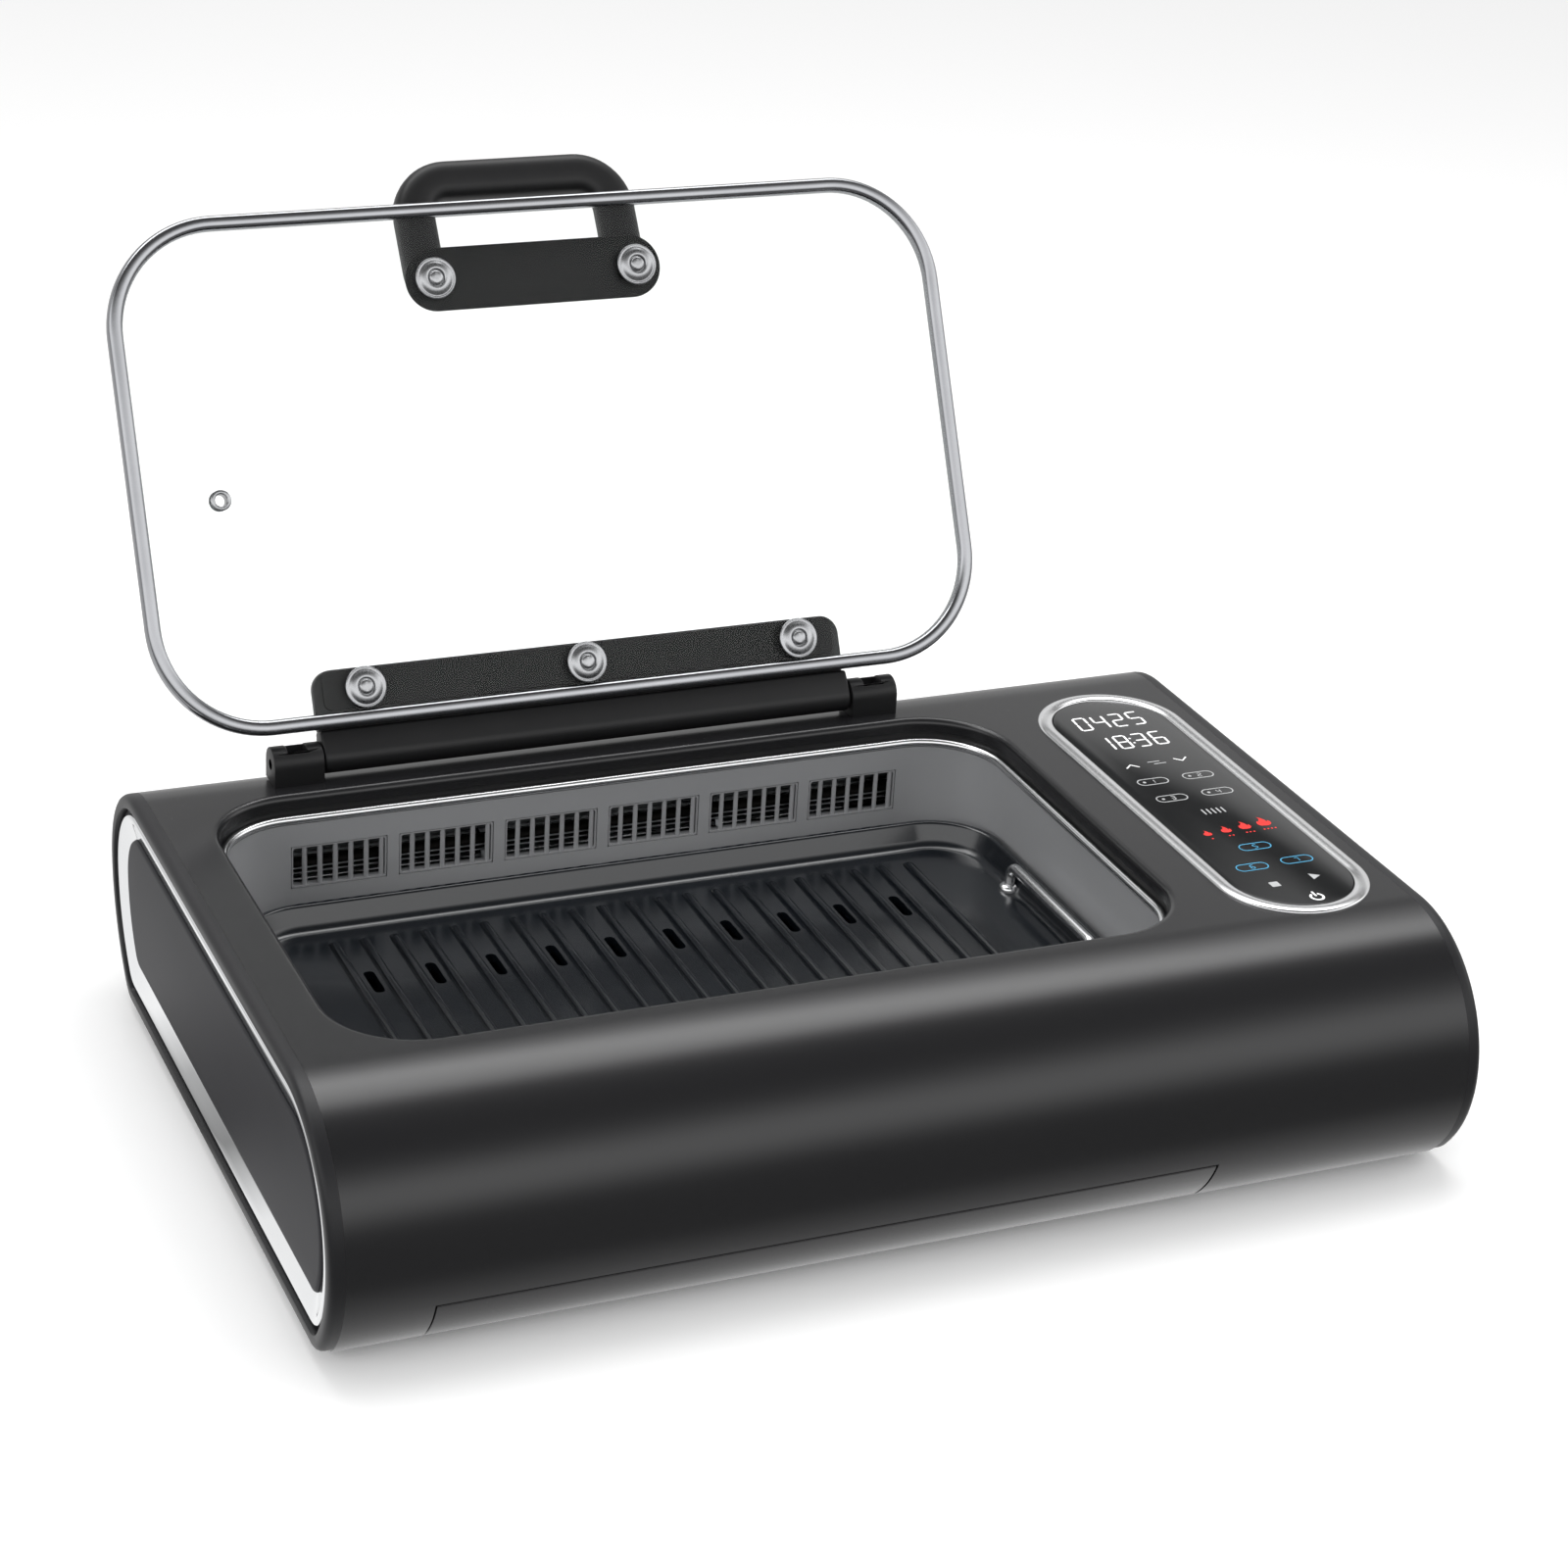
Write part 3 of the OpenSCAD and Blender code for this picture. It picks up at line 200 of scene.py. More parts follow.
def circle(radius, sides, centre=(0, 0)):
    turns = [2 * math.pi * k / sides for k in range(sides)]
    return [(centre[0] + radius * math.cos(t), centre[1] + radius * math.sin(t)) for t in turns]


# From a circle at power 1 towards a square at power 0
def oval(halfWide, halfDeep, sides, power=1.0):
    return [(math.copysign(abs(c) ** power, c) * halfWide, math.copysign(abs(s) ** power, s) * halfDeep)
            for c, s in circle(1, sides)]


def roundedRect(width, depth, radius, centre=(0, 0), steps=14):
    radius = min(radius, width / 2 - 0.01, depth / 2 - 0.01)
    points = []
    for sx, sy, start in ((1, 1, 0), (-1, 1, 90), (-1, -1, 180), (1, -1, 270)):
        middle = (centre[0] + sx * (width / 2 - radius), centre[1] + sy * (depth / 2 - radius))
        points += arcPoints(middle, radius, start, start + 90, steps)
    return points


# Outlines set in space: lying at height z, across the casing at x, or facing front at y
def level(points, z):
    return [(x, y, z) for x, y in points]


def across(points, x):
    return [(x, y, z) for y, z in points]


def facing(points, y):
    return [(x, y, z) for x, z in points]


# Joins loops of equal length: capped at both ends, or closed into a ring
def loft(loops, ring=False):
    count = len(loops[0])
    verts = [p for loop in loops for p in loop]
    faces = []
    for i in range(len(loops) - (0 if ring else 1)):
        a, b = i * count, (i + 1) % len(loops) * count
        for k in range(count):
            n = (k + 1) % count
            faces.append((a + k, a + n, b + n, b + k))
    if not ring:
        last = (len(loops) - 1) * count
        faces += [tuple(range(count - 1, -1, -1)), tuple(range(last, last + count))]
    return verts, faces


# A loft of rounded rectangles, drawn in and raised by the (inset, height) steps of a section
def stack(width, depth, corner, section, centre=(0, 0), steps=14, ring=False):
    return loft([level(roundedRect(width - 2 * inset, depth - 2 * inset, corner - inset, centre, steps), z)
                 for inset, z in section], ring)


def combine(*parts):
    verts, faces = [], []
    for partVerts, partFaces in parts:
        start = len(verts)
        verts += partVerts
        faces += [tuple(start + k for k in face) for face in partFaces]
    return verts, faces


def moved(part, matrix):
    return [tuple(matrix @ Vector(p)) for p in part[0]], part[1]


def box(x0, x1, y0, y1, z0, z1):
    loop = [(x0, y0), (x1, y0), (x1, y1), (x0, y1)]
    return loft([level(loop, z0), level(loop, z1)])


# profile: (radius, height) from the bottom middle to the top middle
def lathe(profile, sides=48):
    return loft([level(circle(radius, sides), height) for radius, height in profile])


# A rounded line: straight runs with an arc of the given radius at each inner point
def roundedPath(points, radii, steps=10):
    points = [Vector(p) for p in points]
    path = [points[0]]
    for before, corner, after, radius in zip(points, points[1:], points[2:], radii):
        back, ahead = (before - corner).normalized(), (after - corner).normalized()
        half = back.angle(ahead) / 2
        middle = corner + (back + ahead).normalized() * radius / math.sin(half)
        start = corner + back * radius / math.tan(half) - middle
        end = corner + ahead * radius / math.tan(half) - middle
        path += [middle + start.slerp(end, i / steps) * radius for i in range(steps + 1)]
    return path + [points[-1]]


# Runs an oval section along a path; wide is the section's first direction
def tube(path, halfWide, halfDeep, wide, power=1.0, sides=24):
    loops, wide, before = [], Vector(wide).normalized(), None
    section = oval(halfWide, halfDeep, sides, power)
    for i, point in enumerate(path):
        ahead = (path[min(i + 1, len(path) - 1)] - path[max(i - 1, 0)]).normalized()
        if before is not None:
            wide = before.rotation_difference(ahead) @ wide
        before = ahead
        deep = ahead.cross(wide).normalized()
        loops.append([tuple(point + a * wide + b * deep) for a, b in section])
    return loft(loops)


def makeMesh(name, part):
    mesh = bpy.data.meshes.new(name)
    mesh.from_pydata([tuple(c * mm for c in p) for p in part[0]], [], part[1])
    shape = bmesh.new()
    shape.from_mesh(mesh)
    bmesh.ops.remove_doubles(shape, verts=shape.verts, dist=1e-6)
    bmesh.ops.recalc_face_normals(shape, faces=shape.faces)
    shape.to_mesh(mesh)
    shape.free()
    return mesh


def makeObject(name, mesh):
    thing = bpy.data.objects.new(name, mesh)
    bpy.context.scene.collection.objects.link(thing)
    return thing


def applyModifiers(thing):
    graph = bpy.context.evaluated_depsgraph_get()
    mesh = bpy.data.meshes.new_from_object(thing.evaluated_get(graph), depsgraph=graph)
    thing.modifiers.clear()
    thing.data = mesh


def cutShape(thing, part):
    cutter = makeObject("cutter", makeMesh("cutter", part))
    remove = thing.modifiers.new("cut", "BOOLEAN")
    remove.operation, remove.solver, remove.object = "DIFFERENCE", "EXACT", cutter
    applyModifiers(thing)
    bpy.data.objects.remove(cutter)


# Builds a piece from a part or a mesh, cuts and bevels it, adds a second part, gives it its finish and hangs it
# on its body; it hides the CAD node that it replaces, or, with replace=False, leaves that node in place
def makePiece(name, part, lookName, node, body="body", replace=True, cut=None, bevel=0, bevelAngle=40,
              added=None, sharp=35, place=None):
    thing = makeObject(name, part if isinstance(part, bpy.types.Mesh) else makeMesh(name, part))
    if cut is not None:
        cutShape(thing, cut)
    if bevel:
        edge = thing.modifiers.new("edge", "BEVEL")
        edge.width, edge.segments, edge.limit_method = bevel * mm, 3, "ANGLE"
        edge.angle_limit = math.radians(bevelAngle)
        applyModifiers(thing)
    if added is not None:
        joined = bmesh.new()
        joined.from_mesh(thing.data)
        joined.from_mesh(makeMesh(name + "Added", added))
        joined.to_mesh(thing.data)
        joined.free()
    if place is not None:
        scaled = place.copy()
        scaled.translation = place.translation * mm
        thing.data.transform(scaled)
    thing.data.shade_smooth()
    thing.data.set_sharp_from_angle(angle=math.radians(sharp))
    thing.data.materials.clear()
    thing.data.materials.append(look[lookName])
    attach(thing, body)
    if replace:
        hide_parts(node)


# Repeats, by Geometry Nodes: a tree copies a shape object and gives the copies a finish
def startTree(name, inputs):
    tree = bpy.data.node_groups.new(name, "GeometryNodeTree")
    tree.interface.new_socket("Geometry", in_out="INPUT", socket_type="NodeSocketGeometry")
    tree.interface.new_socket("Geometry", in_out="OUTPUT", socket_type="NodeSocketGeometry")
    keys = {}
    for label, kind in {"Shape": "Object", **inputs, "Finish": "Material"}.items():
        socket = tree.interface.new_socket(label, in_out="INPUT", socket_type="NodeSocket" + kind)
        keys[label] = socket.identifier
    given = addNode(tree, "NodeGroupInput").outputs
    shape = addNode(tree, "GeometryNodeObjectInfo", values={"As Instance": True},
                    links={"Object": given["Shape"]})
    return tree, keys, given, shape.outputs["Geometry"]


def endTree(tree, copies, finish):
    solid = addNode(tree, "GeometryNodeRealizeInstances", links={0: copies})
    painted = addNode(tree, "GeometryNodeSetMaterial", links={"Geometry": solid.outputs[0], "Material": finish})
    addNode(tree, "NodeGroupOutput", links={0: painted.outputs[0]})


# Copies of one shape in a row, and copies of that row: slats, ridges, feet
tree, keys, given, shape = startTree("rowsOfCopies", {
    "Count": "Int", "Step": "Vector", "Rows": "Int", "Row step": "Vector", "Start": "Vector"})
line = addNode(tree, "GeometryNodeMeshLine", settings={"mode": "OFFSET"},
               links={"Count": given["Count"], "Start Location": given["Start"], "Offset": given["Step"]})
row = addNode(tree, "GeometryNodeInstanceOnPoints", links={"Points": line.outputs[0], "Instance": shape})
rowLine = addNode(tree, "GeometryNodeMeshLine", settings={"mode": "OFFSET"},
                  links={"Count": given["Rows"], "Offset": given["Row step"]})
rows = addNode(tree, "GeometryNodeInstanceOnPoints",
               links={"Points": rowLine.outputs[0], "Instance": row.outputs[0]})
endTree(tree, rows.outputs[0], given["Finish"])
rowsOfCopies = (tree, keys)

# Copies of one shape at given points, all turned alike: washers and screws
tree, keys, given, shape = startTree("copiesAtSpots", {"Turn": "Vector"})
spots = addNode(tree, "GeometryNodeInstanceOnPoints",
                links={"Points": given["Geometry"], "Instance": shape, "Rotation": given["Turn"]})
endTree(tree, spots.outputs[0], given["Finish"])
copiesAtSpots = (tree, keys)


# Runs a tree on points and returns the result as a plain mesh
def repeatShape(name, treeAndKeys, part, lookName, points=((0, 0, 0),), cut=None, **values):
    tree, keys = treeAndKeys
    source = makeObject(name + "Shape", makeMesh(name + "Shape", part))
    if cut is not None:
        cutShape(source, cut)
    host = makeObject(name + "Host", makeMesh(name + "Host", (points, [])))
    made = host.modifiers.new("copies", "NODES")
    made.node_group = tree
    made[keys["Shape"]] = source
    made[keys["Finish"]] = look[lookName]
    for label, value in values.items():
        isLength = label != "Turn" and not isinstance(value, int)
        made[keys[label.replace("_", " ")]] = tuple(float(c) * mm for c in value) if isLength else value
    applyModifiers(host)
    mesh = host.data
    bpy.data.objects.remove(host)
    bpy.data.objects.remove(source)
    return mesh


# Casing: the painted sleeve, its two ends, the feet and the strain relief
casing = {
    "width": 500, "depth": 350, "height": 106, "feet": 5, "sheet": 1.2,
    "frontRadius": 61, "backRadius": 45, "lowRadius": 80,
    "openingX": -40, "openingY": 5, "openingWidth": 378, "openingDepth": 226, "openingRadius": 38,
    "lipRadius": 3, "lipDepth": 6.5, "endCorner": 14,
    "trayX": -40, "trayWidth": 344, "trayHeight": 23, "trayGap": 0.8,
    "slotCount": 26, "slotStep": 12, "slotWidth": 4, "slotHeight": 18, "slotZ": 36,
    "panelX": 207, "panelY": 1, "panelWidth": 72, "panelLength": 238, "panelHoleInset": 2.5,
    "inletX": 205, "inletZ": 43, "inletHole": 6.05,
    "frontCut": (-200, -129), "backCut": (150, 190), "topCut": 5,
}
topZ = casing["feet"] + casing["height"]
frontCentre = (-casing["depth"] / 2 + casing["frontRadius"], topZ - casing["frontRadius"])
backCentre = (casing["depth"] / 2 - casing["backRadius"], topZ - casing["backRadius"])
lowCentre = (casing["depth"] / 2 - casing["lowRadius"], backCentre[1])


# The casing's end view (Y, Z), drawn in by inset, from its front bottom corner over the top to the back one
def casingPath(inset, lift=0.0, corner=0.0):
    floorZ = casing["feet"] + lift
    front, back, low = (casing[key] - inset for key in ("frontRadius", "backRadius", "lowRadius"))
    path = []
    rise = floorZ + corner
    reach = math.sqrt((front - corner) ** 2 - (frontCentre[1] - rise) ** 2)
    turn = math.degrees(math.atan2(frontCentre[1] - rise, reach))
    if corner:
        path += arcPoints((frontCentre[0] - reach, rise), corner, 270, 180 + turn, 8)[:-1]
    path += arcPoints(frontCentre, front, 180 + turn, 90, 56)
    path += [(frontCentre[0] + 3, topZ - inset), (backCentre[0] - 3, topZ - inset)]
    path += arcPoints(backCentre, back, 90, 0, 32)
    reach = math.sqrt((low - corner) ** 2 - (lowCentre[1] - rise) ** 2)
    turn = math.degrees(math.atan2(lowCentre[1] - rise, reach))
    path += arcPoints(lowCentre, low, 0, -turn, 32)[1:]
    if corner:
        path += arcPoints((lowCentre[0] + reach, rise), corner, -turn, -90, 8)[1:]
    return path


def casingLoop(x, inset):
    path = casingPath(inset, inset, casing["endCorner"] - 0.3 * inset)
    floorZ = casing["feet"] + inset
    return across(path + [(path[-1][0] - 3, floorZ), (path[0][0] + 3, floorZ)], x)


openingCentre = (casing["openingX"], casing["openingY"])


# The opening's outline grown by spread, with its own corner radius
def openingLoop(spread, z, steps=18):
    return level(roundedRect(casing["openingWidth"] + 2 * spread, casing["openingDepth"] + 2 * spread,
                             casing["openingRadius"] + spread, openingCentre, steps), z)


def panelLoop(inset, z):
    width, length = casing["panelWidth"] - 2 * inset, casing["panelLength"] - 2 * inset
    return level(roundedRect(width, length, width / 2, (casing["panelX"], casing["panelY"]), 24), z)


lip, sheet = casing["lipRadius"], casing["sheet"]
sheetSection = casingPath(0) + casingPath(sheet)[::-1]
lipSection = [(lip - lip * math.sin(math.radians(t)), topZ - lip + lip * math.cos(math.radians(t)))
              for t in range(0, 91, 10)]
lipSection += [(0, topZ - casing["lipDepth"]), (sheet, topZ - casing["lipDepth"]), (sheet, topZ - lip),
               (sheet + 0.5, topZ - sheet - 0.5), (lip, topZ - sheet)]
slotRow = [casing["openingX"] + (i - (casing["slotCount"] - 1) / 2) * casing["slotStep"]
           for i in range(casing["slotCount"])]
inlet = (casing["inletX"], casing["inletZ"])
inletHole = circle(casing["inletHole"], 32, inlet)
trayLeft = casing["trayX"] - casing["trayWidth"] / 2
trayRight = casing["trayX"] + casing["trayWidth"] / 2
trayTop, trayGap = casing["feet"] + casing["trayHeight"], casing["trayGap"]
overAndUnder = (topZ - casing["topCut"], topZ + casing["topCut"])
sleeveCuts = combine(
    loft([openingLoop(lip, z) for z in overAndUnder]),
    loft([panelLoop(casing["panelHoleInset"], z) for z in overAndUnder]),
    box(trayLeft - trayGap, trayRight + trayGap, *casing["frontCut"], -1, trayTop + trayGap),
    loft([facing(inletHole, y) for y in casing["backCut"]]),
    *[box(x - casing["slotWidth"] / 2, x + casing["slotWidth"] / 2, *casing["backCut"],
          casing["slotZ"] - casing["slotHeight"] / 2, casing["slotZ"] + casing["slotHeight"] / 2)
      for x in slotRow])
makePiece("paintedSleeve", loft([across(sheetSection, x * casing["width"] / 2) for x in (-1, 1)]),
          "satinPowderCoat", "sleeve", cut=sleeveCuts,
          added=loft([openingLoop(spread, z) for spread, z in lipSection], ring=True), sharp=40)

# The collar wears the darkened paint: painted shade in the recess between the lip and the rim
collarSection = [(0.5, 109.4), (0.5, 99.8), (0.1, 98.7), (-0.9, 98.1), (-1.6, 98), (-1.6, 96.5), (5, 96.5),
                 (5, 109.4)]
makePiece("openingCollar", loft([openingLoop(s, z) for s, z in collarSection], ring=True),
          "recessPaint", "opening_collar")

# Pieces of the ends; a profile is (inset from the casing's outline, distance from its middle)
endPieces = (
    ("EndCap", "_end_cap", "mouldedAbs", False, 35, (
        (2, 249), (0, 250.05), (0, 253), (0.2, 254.3), (0.9, 255.6), (2, 256.3), (3.2, 256.5), (5.4, 256.5),
        (6.1, 256.3), (6.5, 255.7), (6.5, 252.7), (6.9, 252.5))),
    ("TrimRing", "_trim_ring", "chromePlate", True, 50, (
        (9, 252.4), (9, 254.2), (9.3, 255), (10, 255.45), (11, 255.5), (12, 255.3), (14, 254.7), (17, 253.8),
        (19.5, 253.2), (20.6, 252.9), (21, 252.7), (21, 252.4))),
    ("SidePanel", "_side_panel", "satinAbsPanel", False, 35, (
        (21.2, 252.4), (21.2, 253.1), (21.6, 253.6), (22.6, 253.9), (23.6, 254))),
)
for side, sign in (("left", -1), ("right", 1)):
    for name, node, lookName, ring, sharp, section in endPieces:
        makePiece(side + name, loft([casingLoop(sign * x, inset) for inset, x in section], ring), lookName,
                  side + node, sharp=sharp)

foot = {"radius": 11, "height": 5, "pitchX": 430, "pitchY": 236}
radius, height = foot["radius"], foot["height"]
footPart = lathe([(0.01, 0), (radius - 1.6, 0), (radius - 0.6, 0.3), (radius, 1), (radius, height - 0.8),
                  (radius - 0.6, height), (0.01, height)], 40)
feetMesh = repeatShape("rubberFeet", rowsOfCopies, footPart, "footRubber", Count=2,
                       Step=(foot["pitchX"], 0, 0), Rows=2, Row_step=(0, foot["pitchY"], 0),
                       Start=(-foot["pitchX"] / 2, -foot["pitchY"] / 2, 0))
makePiece("rubberFeet", feetMesh, "footRubber", "feet")

# Strain relief at the back; its profile is (radius, distance back)
reliefProfile = [(3.5, 150), (6, 150), (6, 168), (8, 168.5), (8, 173), (7.4, 173.4), (7.4, 175), (7.9, 175.4),
                 (7.9, 177), (7.3, 177.4), (7.3, 179), (7.6, 179.4), (7.6, 181), (7, 182.4), (6, 183),
                 (4.2, 183), (3.5, 182.4)]
makePiece("strainRelief", loft([facing(circle(r, 40, inlet), y) for r, y in reliefProfile], ring=True),
          "phenolic", "power_inlet")
print("casing made")


# Cooking chamber: rolled rim, liner with its vents, guard wires and the grill plate
chamber = {
    "rimHalfWidth": 187.2, "rimHalfDepth": 111.2, "rimCorner": 36, "rimZ": 100, "rimRadius": 2,
    "wall": 1.2, "linerTop": 98, "ledgeTop": 51.2, "ledgeWidth": 24, "fillet": 6, "wallCut": (112, 120),
    "ventCount": 6, "ventStep": 50.5, "ventWidth": 45, "ventTop": 87, "ventHeight": 21, "ventY": 116.2,
    "slatCount": 6, "slatStep": 7.2, "slatThick": 2.1, "slatDeep": 4.4, "slatTurn": -24, "slatRound": 0.9,
    "slatGap": 0.4, "firstSlat": 6, "slatForward": 0.8, "frameGap": 0.7, "frameInner": 2.1,
}


def rimLoop(spread, z):
    return level(roundedRect(2 * (chamber["rimHalfWidth"] + spread), 2 * (chamber["rimHalfDepth"] + spread),
                             chamber["rimCorner"] + spread, openingCentre, 18), z)


rimSection = arcPoints((0, chamber["rimZ"]), chamber["rimRadius"], 0, 360, 20)[:-1]
makePiece("rolledRim", loft([rimLoop(s, z) for s, z in rimSection], ring=True), "satinChrome", "liner_rim",
          sharp=60)

wall, fillet, ledge = chamber["wall"], chamber["fillet"], chamber["ledgeTop"]
linerSection = [(-wall, chamber["linerTop"])]
linerSection += arcPoints((-wall - fillet, ledge + fillet), fillet, 0, -90, 8)
linerSection += [(-chamber["ledgeWidth"], ledge), (-chamber["ledgeWidth"], ledge - wall)]
linerSection += arcPoints((-wall - fillet, ledge + fillet), fillet + wall, -90, 0, 8)
linerSection += [(0, chamber["linerTop"])]

ventLeft = casing["openingX"] - (chamber["ventCount"] - 1) / 2 * chamber["ventStep"]
ventWidth, ventHeight, ventTop = chamber["ventWidth"], chamber["ventHeight"], chamber["ventTop"]
ventMiddles = [ventLeft + i * chamber["ventStep"] for i in range(chamber["ventCount"])]
ventCuts = combine(*[box(x - ventWidth / 2, x + ventWidth / 2, *chamber["wallCut"],
                         ventTop - ventHeight, ventTop) for x in ventMiddles])
makePiece("drawnLiner", loft([rimLoop(s, z) for s, z in linerSection], ring=True), "drawnLiner",
          "cooking_liner", cut=ventCuts)

# One slat: a rounded upright bar, turned so that it throws the air to one side
slatLoop = roundedRect(chamber["slatThick"], chamber["slatDeep"], chamber["slatRound"],
                       (0, chamber["slatDeep"] / 2), 4)
turned = Matrix.Rotation(math.radians(chamber["slatTurn"]), 4, "Z")
slatEnds = (-ventHeight + chamber["slatGap"], -chamber["slatGap"])
slatPart = moved(loft([level(slatLoop, z) for z in slatEnds]), turned)
slatMesh = repeatShape("ventSlats", rowsOfCopies, slatPart, "drawnLiner", Count=chamber["slatCount"],
                       Step=(chamber["slatStep"], 0, 0), Rows=chamber["ventCount"],
                       Row_step=(chamber["ventStep"], 0, 0),
                       Start=(ventLeft - ventWidth / 2 + chamber["firstSlat"],
                              chamber["ventY"] - chamber["slatForward"], ventTop))
# The insert that carries the slats: a thin frame in each window
gap, inner = chamber["frameGap"], chamber["frameInner"]
frameOuter = roundedRect(ventWidth - gap, ventHeight - gap, 0.8, (0, 0), 4)
frameInner = roundedRect(ventWidth - inner, ventHeight - inner, 1, (0, 0), 4)
framePart = loft([facing(loop, y) for loop, y in (
    (frameOuter, -0.9), (frameOuter, 3.2), (frameInner, 3.2), (frameInner, -0.6), (frameInner, -0.9))], ring=True)
frameMesh = repeatShape("ventFrames", rowsOfCopies, framePart, "drawnLiner", Count=1, Step=(0, 0, 0),
                        Rows=chamber["ventCount"], Row_step=(chamber["ventStep"], 0, 0),
                        Start=(ventLeft, chamber["ventY"], ventTop - ventHeight / 2))
makePiece("ventSlats", slatMesh, "drawnLiner", "vent_louvres")
makePiece("ventFrames", frameMesh, "drawnLiner", "vent_louvres", replace=False)

# Two thin wires behind the slats, low in the vents
guard = {"left": -235, "right": 156, "y": 123.2, "heights": (72, 69.6), "radius": 0.5}
wires = [tube([Vector((guard["left"], guard["y"], z)), Vector((guard["right"], guard["y"], z))],
              guard["radius"], guard["radius"], (0, 0, 1), sides=12) for z in guard["heights"]]
makePiece("guardWires", combine(*wires), "galvanisedSheet", "vent_guard")

plate = {
    "width": 369, "depth": 204.5, "corner": 33.3, "centreX": -40, "centreY": -1.25, "floor": 55.4,
    "ridgeCount": 21, "ridgeStep": 14, "ridgeHalfWidth": 2.1, "ridgeFoot": -0.5,
    "slotWidth": 5, "slotLength": 20, "slotCorner": 2.4, "slotPitch": 81.8,
    "gripX": 175.5, "gripLength": 84, "gripLow": 56, "gripZ": 67.9, "gripRadius": 2.5, "gripBend": 6,
}
# (inset, height) from the underside over the rim and down to the floor
plateSection = [(5, 51.4), (2.2, 51.7), (0.8, 52.6), (0.2, 54), (0, 56), (0, 65), (0.35, 65.9), (1.2, 66.4),
                (2.8, 66.4), (3.6, 66.1), (4.1, 65.3), (6.6, 58.8), (7.8, 56.8), (9.8, 55.7), (12, 55.4)]
platePart = stack(plate["width"], plate["depth"], plate["corner"], plateSection,
                  (plate["centreX"], plate["centreY"]), 18)
slotPart = stack(plate["slotWidth"], plate["slotLength"], plate["slotCorner"], ((0, 50), (0, 57)), steps=6)
slotCuts = combine(*[
    moved(slotPart, Matrix.Translation((plate["centreX"] + (i + 0.5) * plate["ridgeStep"],
                                        plate["centreY"] + k * plate["slotPitch"] / 2, 0)))
    for i in range(-10, 10, 2) for k in (-1, 1)])
makePiece("castPlate", platePart, "castEnamel", "grill_plate", "grill_plate", cut=slotCuts, sharp=50)

# One ridge: a rounded bar whose ends run down into the floor; (reach, height), then (width, height) shares
ridgeEnd = ((80.2, 0.1), (79.6, 0.8), (78.6, 1.6), (77.2, 2.2), (75.2, 2.5))
ridgeRound = ((0.92, 0.45), (0.66, 0.82), (0.3, 1))
halfRidge, ridgeFoot = plate["ridgeHalfWidth"], plate["ridgeFoot"]
ridgeLoops = [[(-halfRidge, y, ridgeFoot), *[(-halfRidge * wide, y, top * high) for wide, high in ridgeRound],
               *[(halfRidge * wide, y, top * high) for wide, high in ridgeRound[::-1]],
               (halfRidge, y, ridgeFoot)]
              for y, top in [*ridgeEnd, *[(-y, top) for y, top in ridgeEnd[::-1]]]]
ridgeMesh = repeatShape("plateRidges", rowsOfCopies, loft(ridgeLoops), "castEnamel", Count=plate["ridgeCount"],
                        Step=(plate["ridgeStep"], 0, 0), Rows=1, Row_step=(0, 0, 0),
                        Start=(plate["centreX"] - (plate["ridgeCount"] - 1) / 2 * plate["ridgeStep"],
                               plate["centreY"], plate["floor"]))
makePiece("plateRidges", ridgeMesh, "castEnamel", "grill_plate", "grill_plate", replace=False, sharp=60)

# Two bent rods, each end in a round boss
gripParts = []
low, high = plate["gripLow"], plate["gripZ"]
bossPart = lathe([(0.01, 55), (5.2, 55), (5, 56.6), (4.4, 57.8), (3.2, 58.2), (0.01, 58.2)], 28)
for sign in (-1, 1):
    x = plate["centreX"] + sign * plate["gripX"]
    ends = [(x, plate["centreY"] + k * plate["gripLength"] / 2) for k in (-1, 1)]
    gripPath = roundedPath([(*ends[0], low), (*ends[0], high), (*ends[1], high), (*ends[1], low)],
                           [plate["gripBend"]] * 2)
    gripParts.append(tube(gripPath, plate["gripRadius"], plate["gripRadius"], (1, 0, 0)))
    gripParts += [moved(bossPart, Matrix.Translation((*end, 0))) for end in ends]
makePiece("plateGrips", combine(*gripParts), "satinChrome", "plate_handles", "grill_plate", sharp=50)
print("cooking chamber made")


# Drip tray: an enamelled pan and a curved front that continues the casing
tray = {"panWidth": 322, "front": -152, "back": 108, "rim": 24, "corner": 10, "flange": 6, "lap": 0.4,
        "flangeThick": 1.2, "flangeInset": 8, "frontThick": 3, "bracketX": 114.7, "bracketThick": 4}
# (inset, height) from the underside over the rim and down to the floor
traySection = [(6, 10), (3, 10.3), (1.2, 11.3), (0.3, 13), (0, 15), (0, 23.5), (0.25, 23.9), (0.6, 24),
               (0.95, 23.9), (1.2, 23.5), (1.2, 15.4), (1.5, 13.4), (2.6, 12), (4.4, 11.3), (7, 11.2)]
panPart = stack(tray["panWidth"], tray["back"] - tray["front"], tray["corner"], traySection,
                (casing["trayX"], (tray["front"] + tray["back"]) / 2), 8)
flanges = [box(casing["trayX"] + sign * tray["panWidth"] / 2 - (tray["flange"] if sign < 0 else tray["lap"]),
               casing["trayX"] + sign * tray["panWidth"] / 2 + (tray["flange"] if sign > 0 else tray["lap"]),
               tray["front"] + tray["flangeInset"], tray["back"] - tray["flangeInset"],
               tray["rim"] - tray["flangeThick"], tray["rim"]) for sign in (-1, 1)]
makePiece("dripPan", combine(panPart, *flanges), "panEnamel", "drip_tray", "drip_tray", sharp=50)

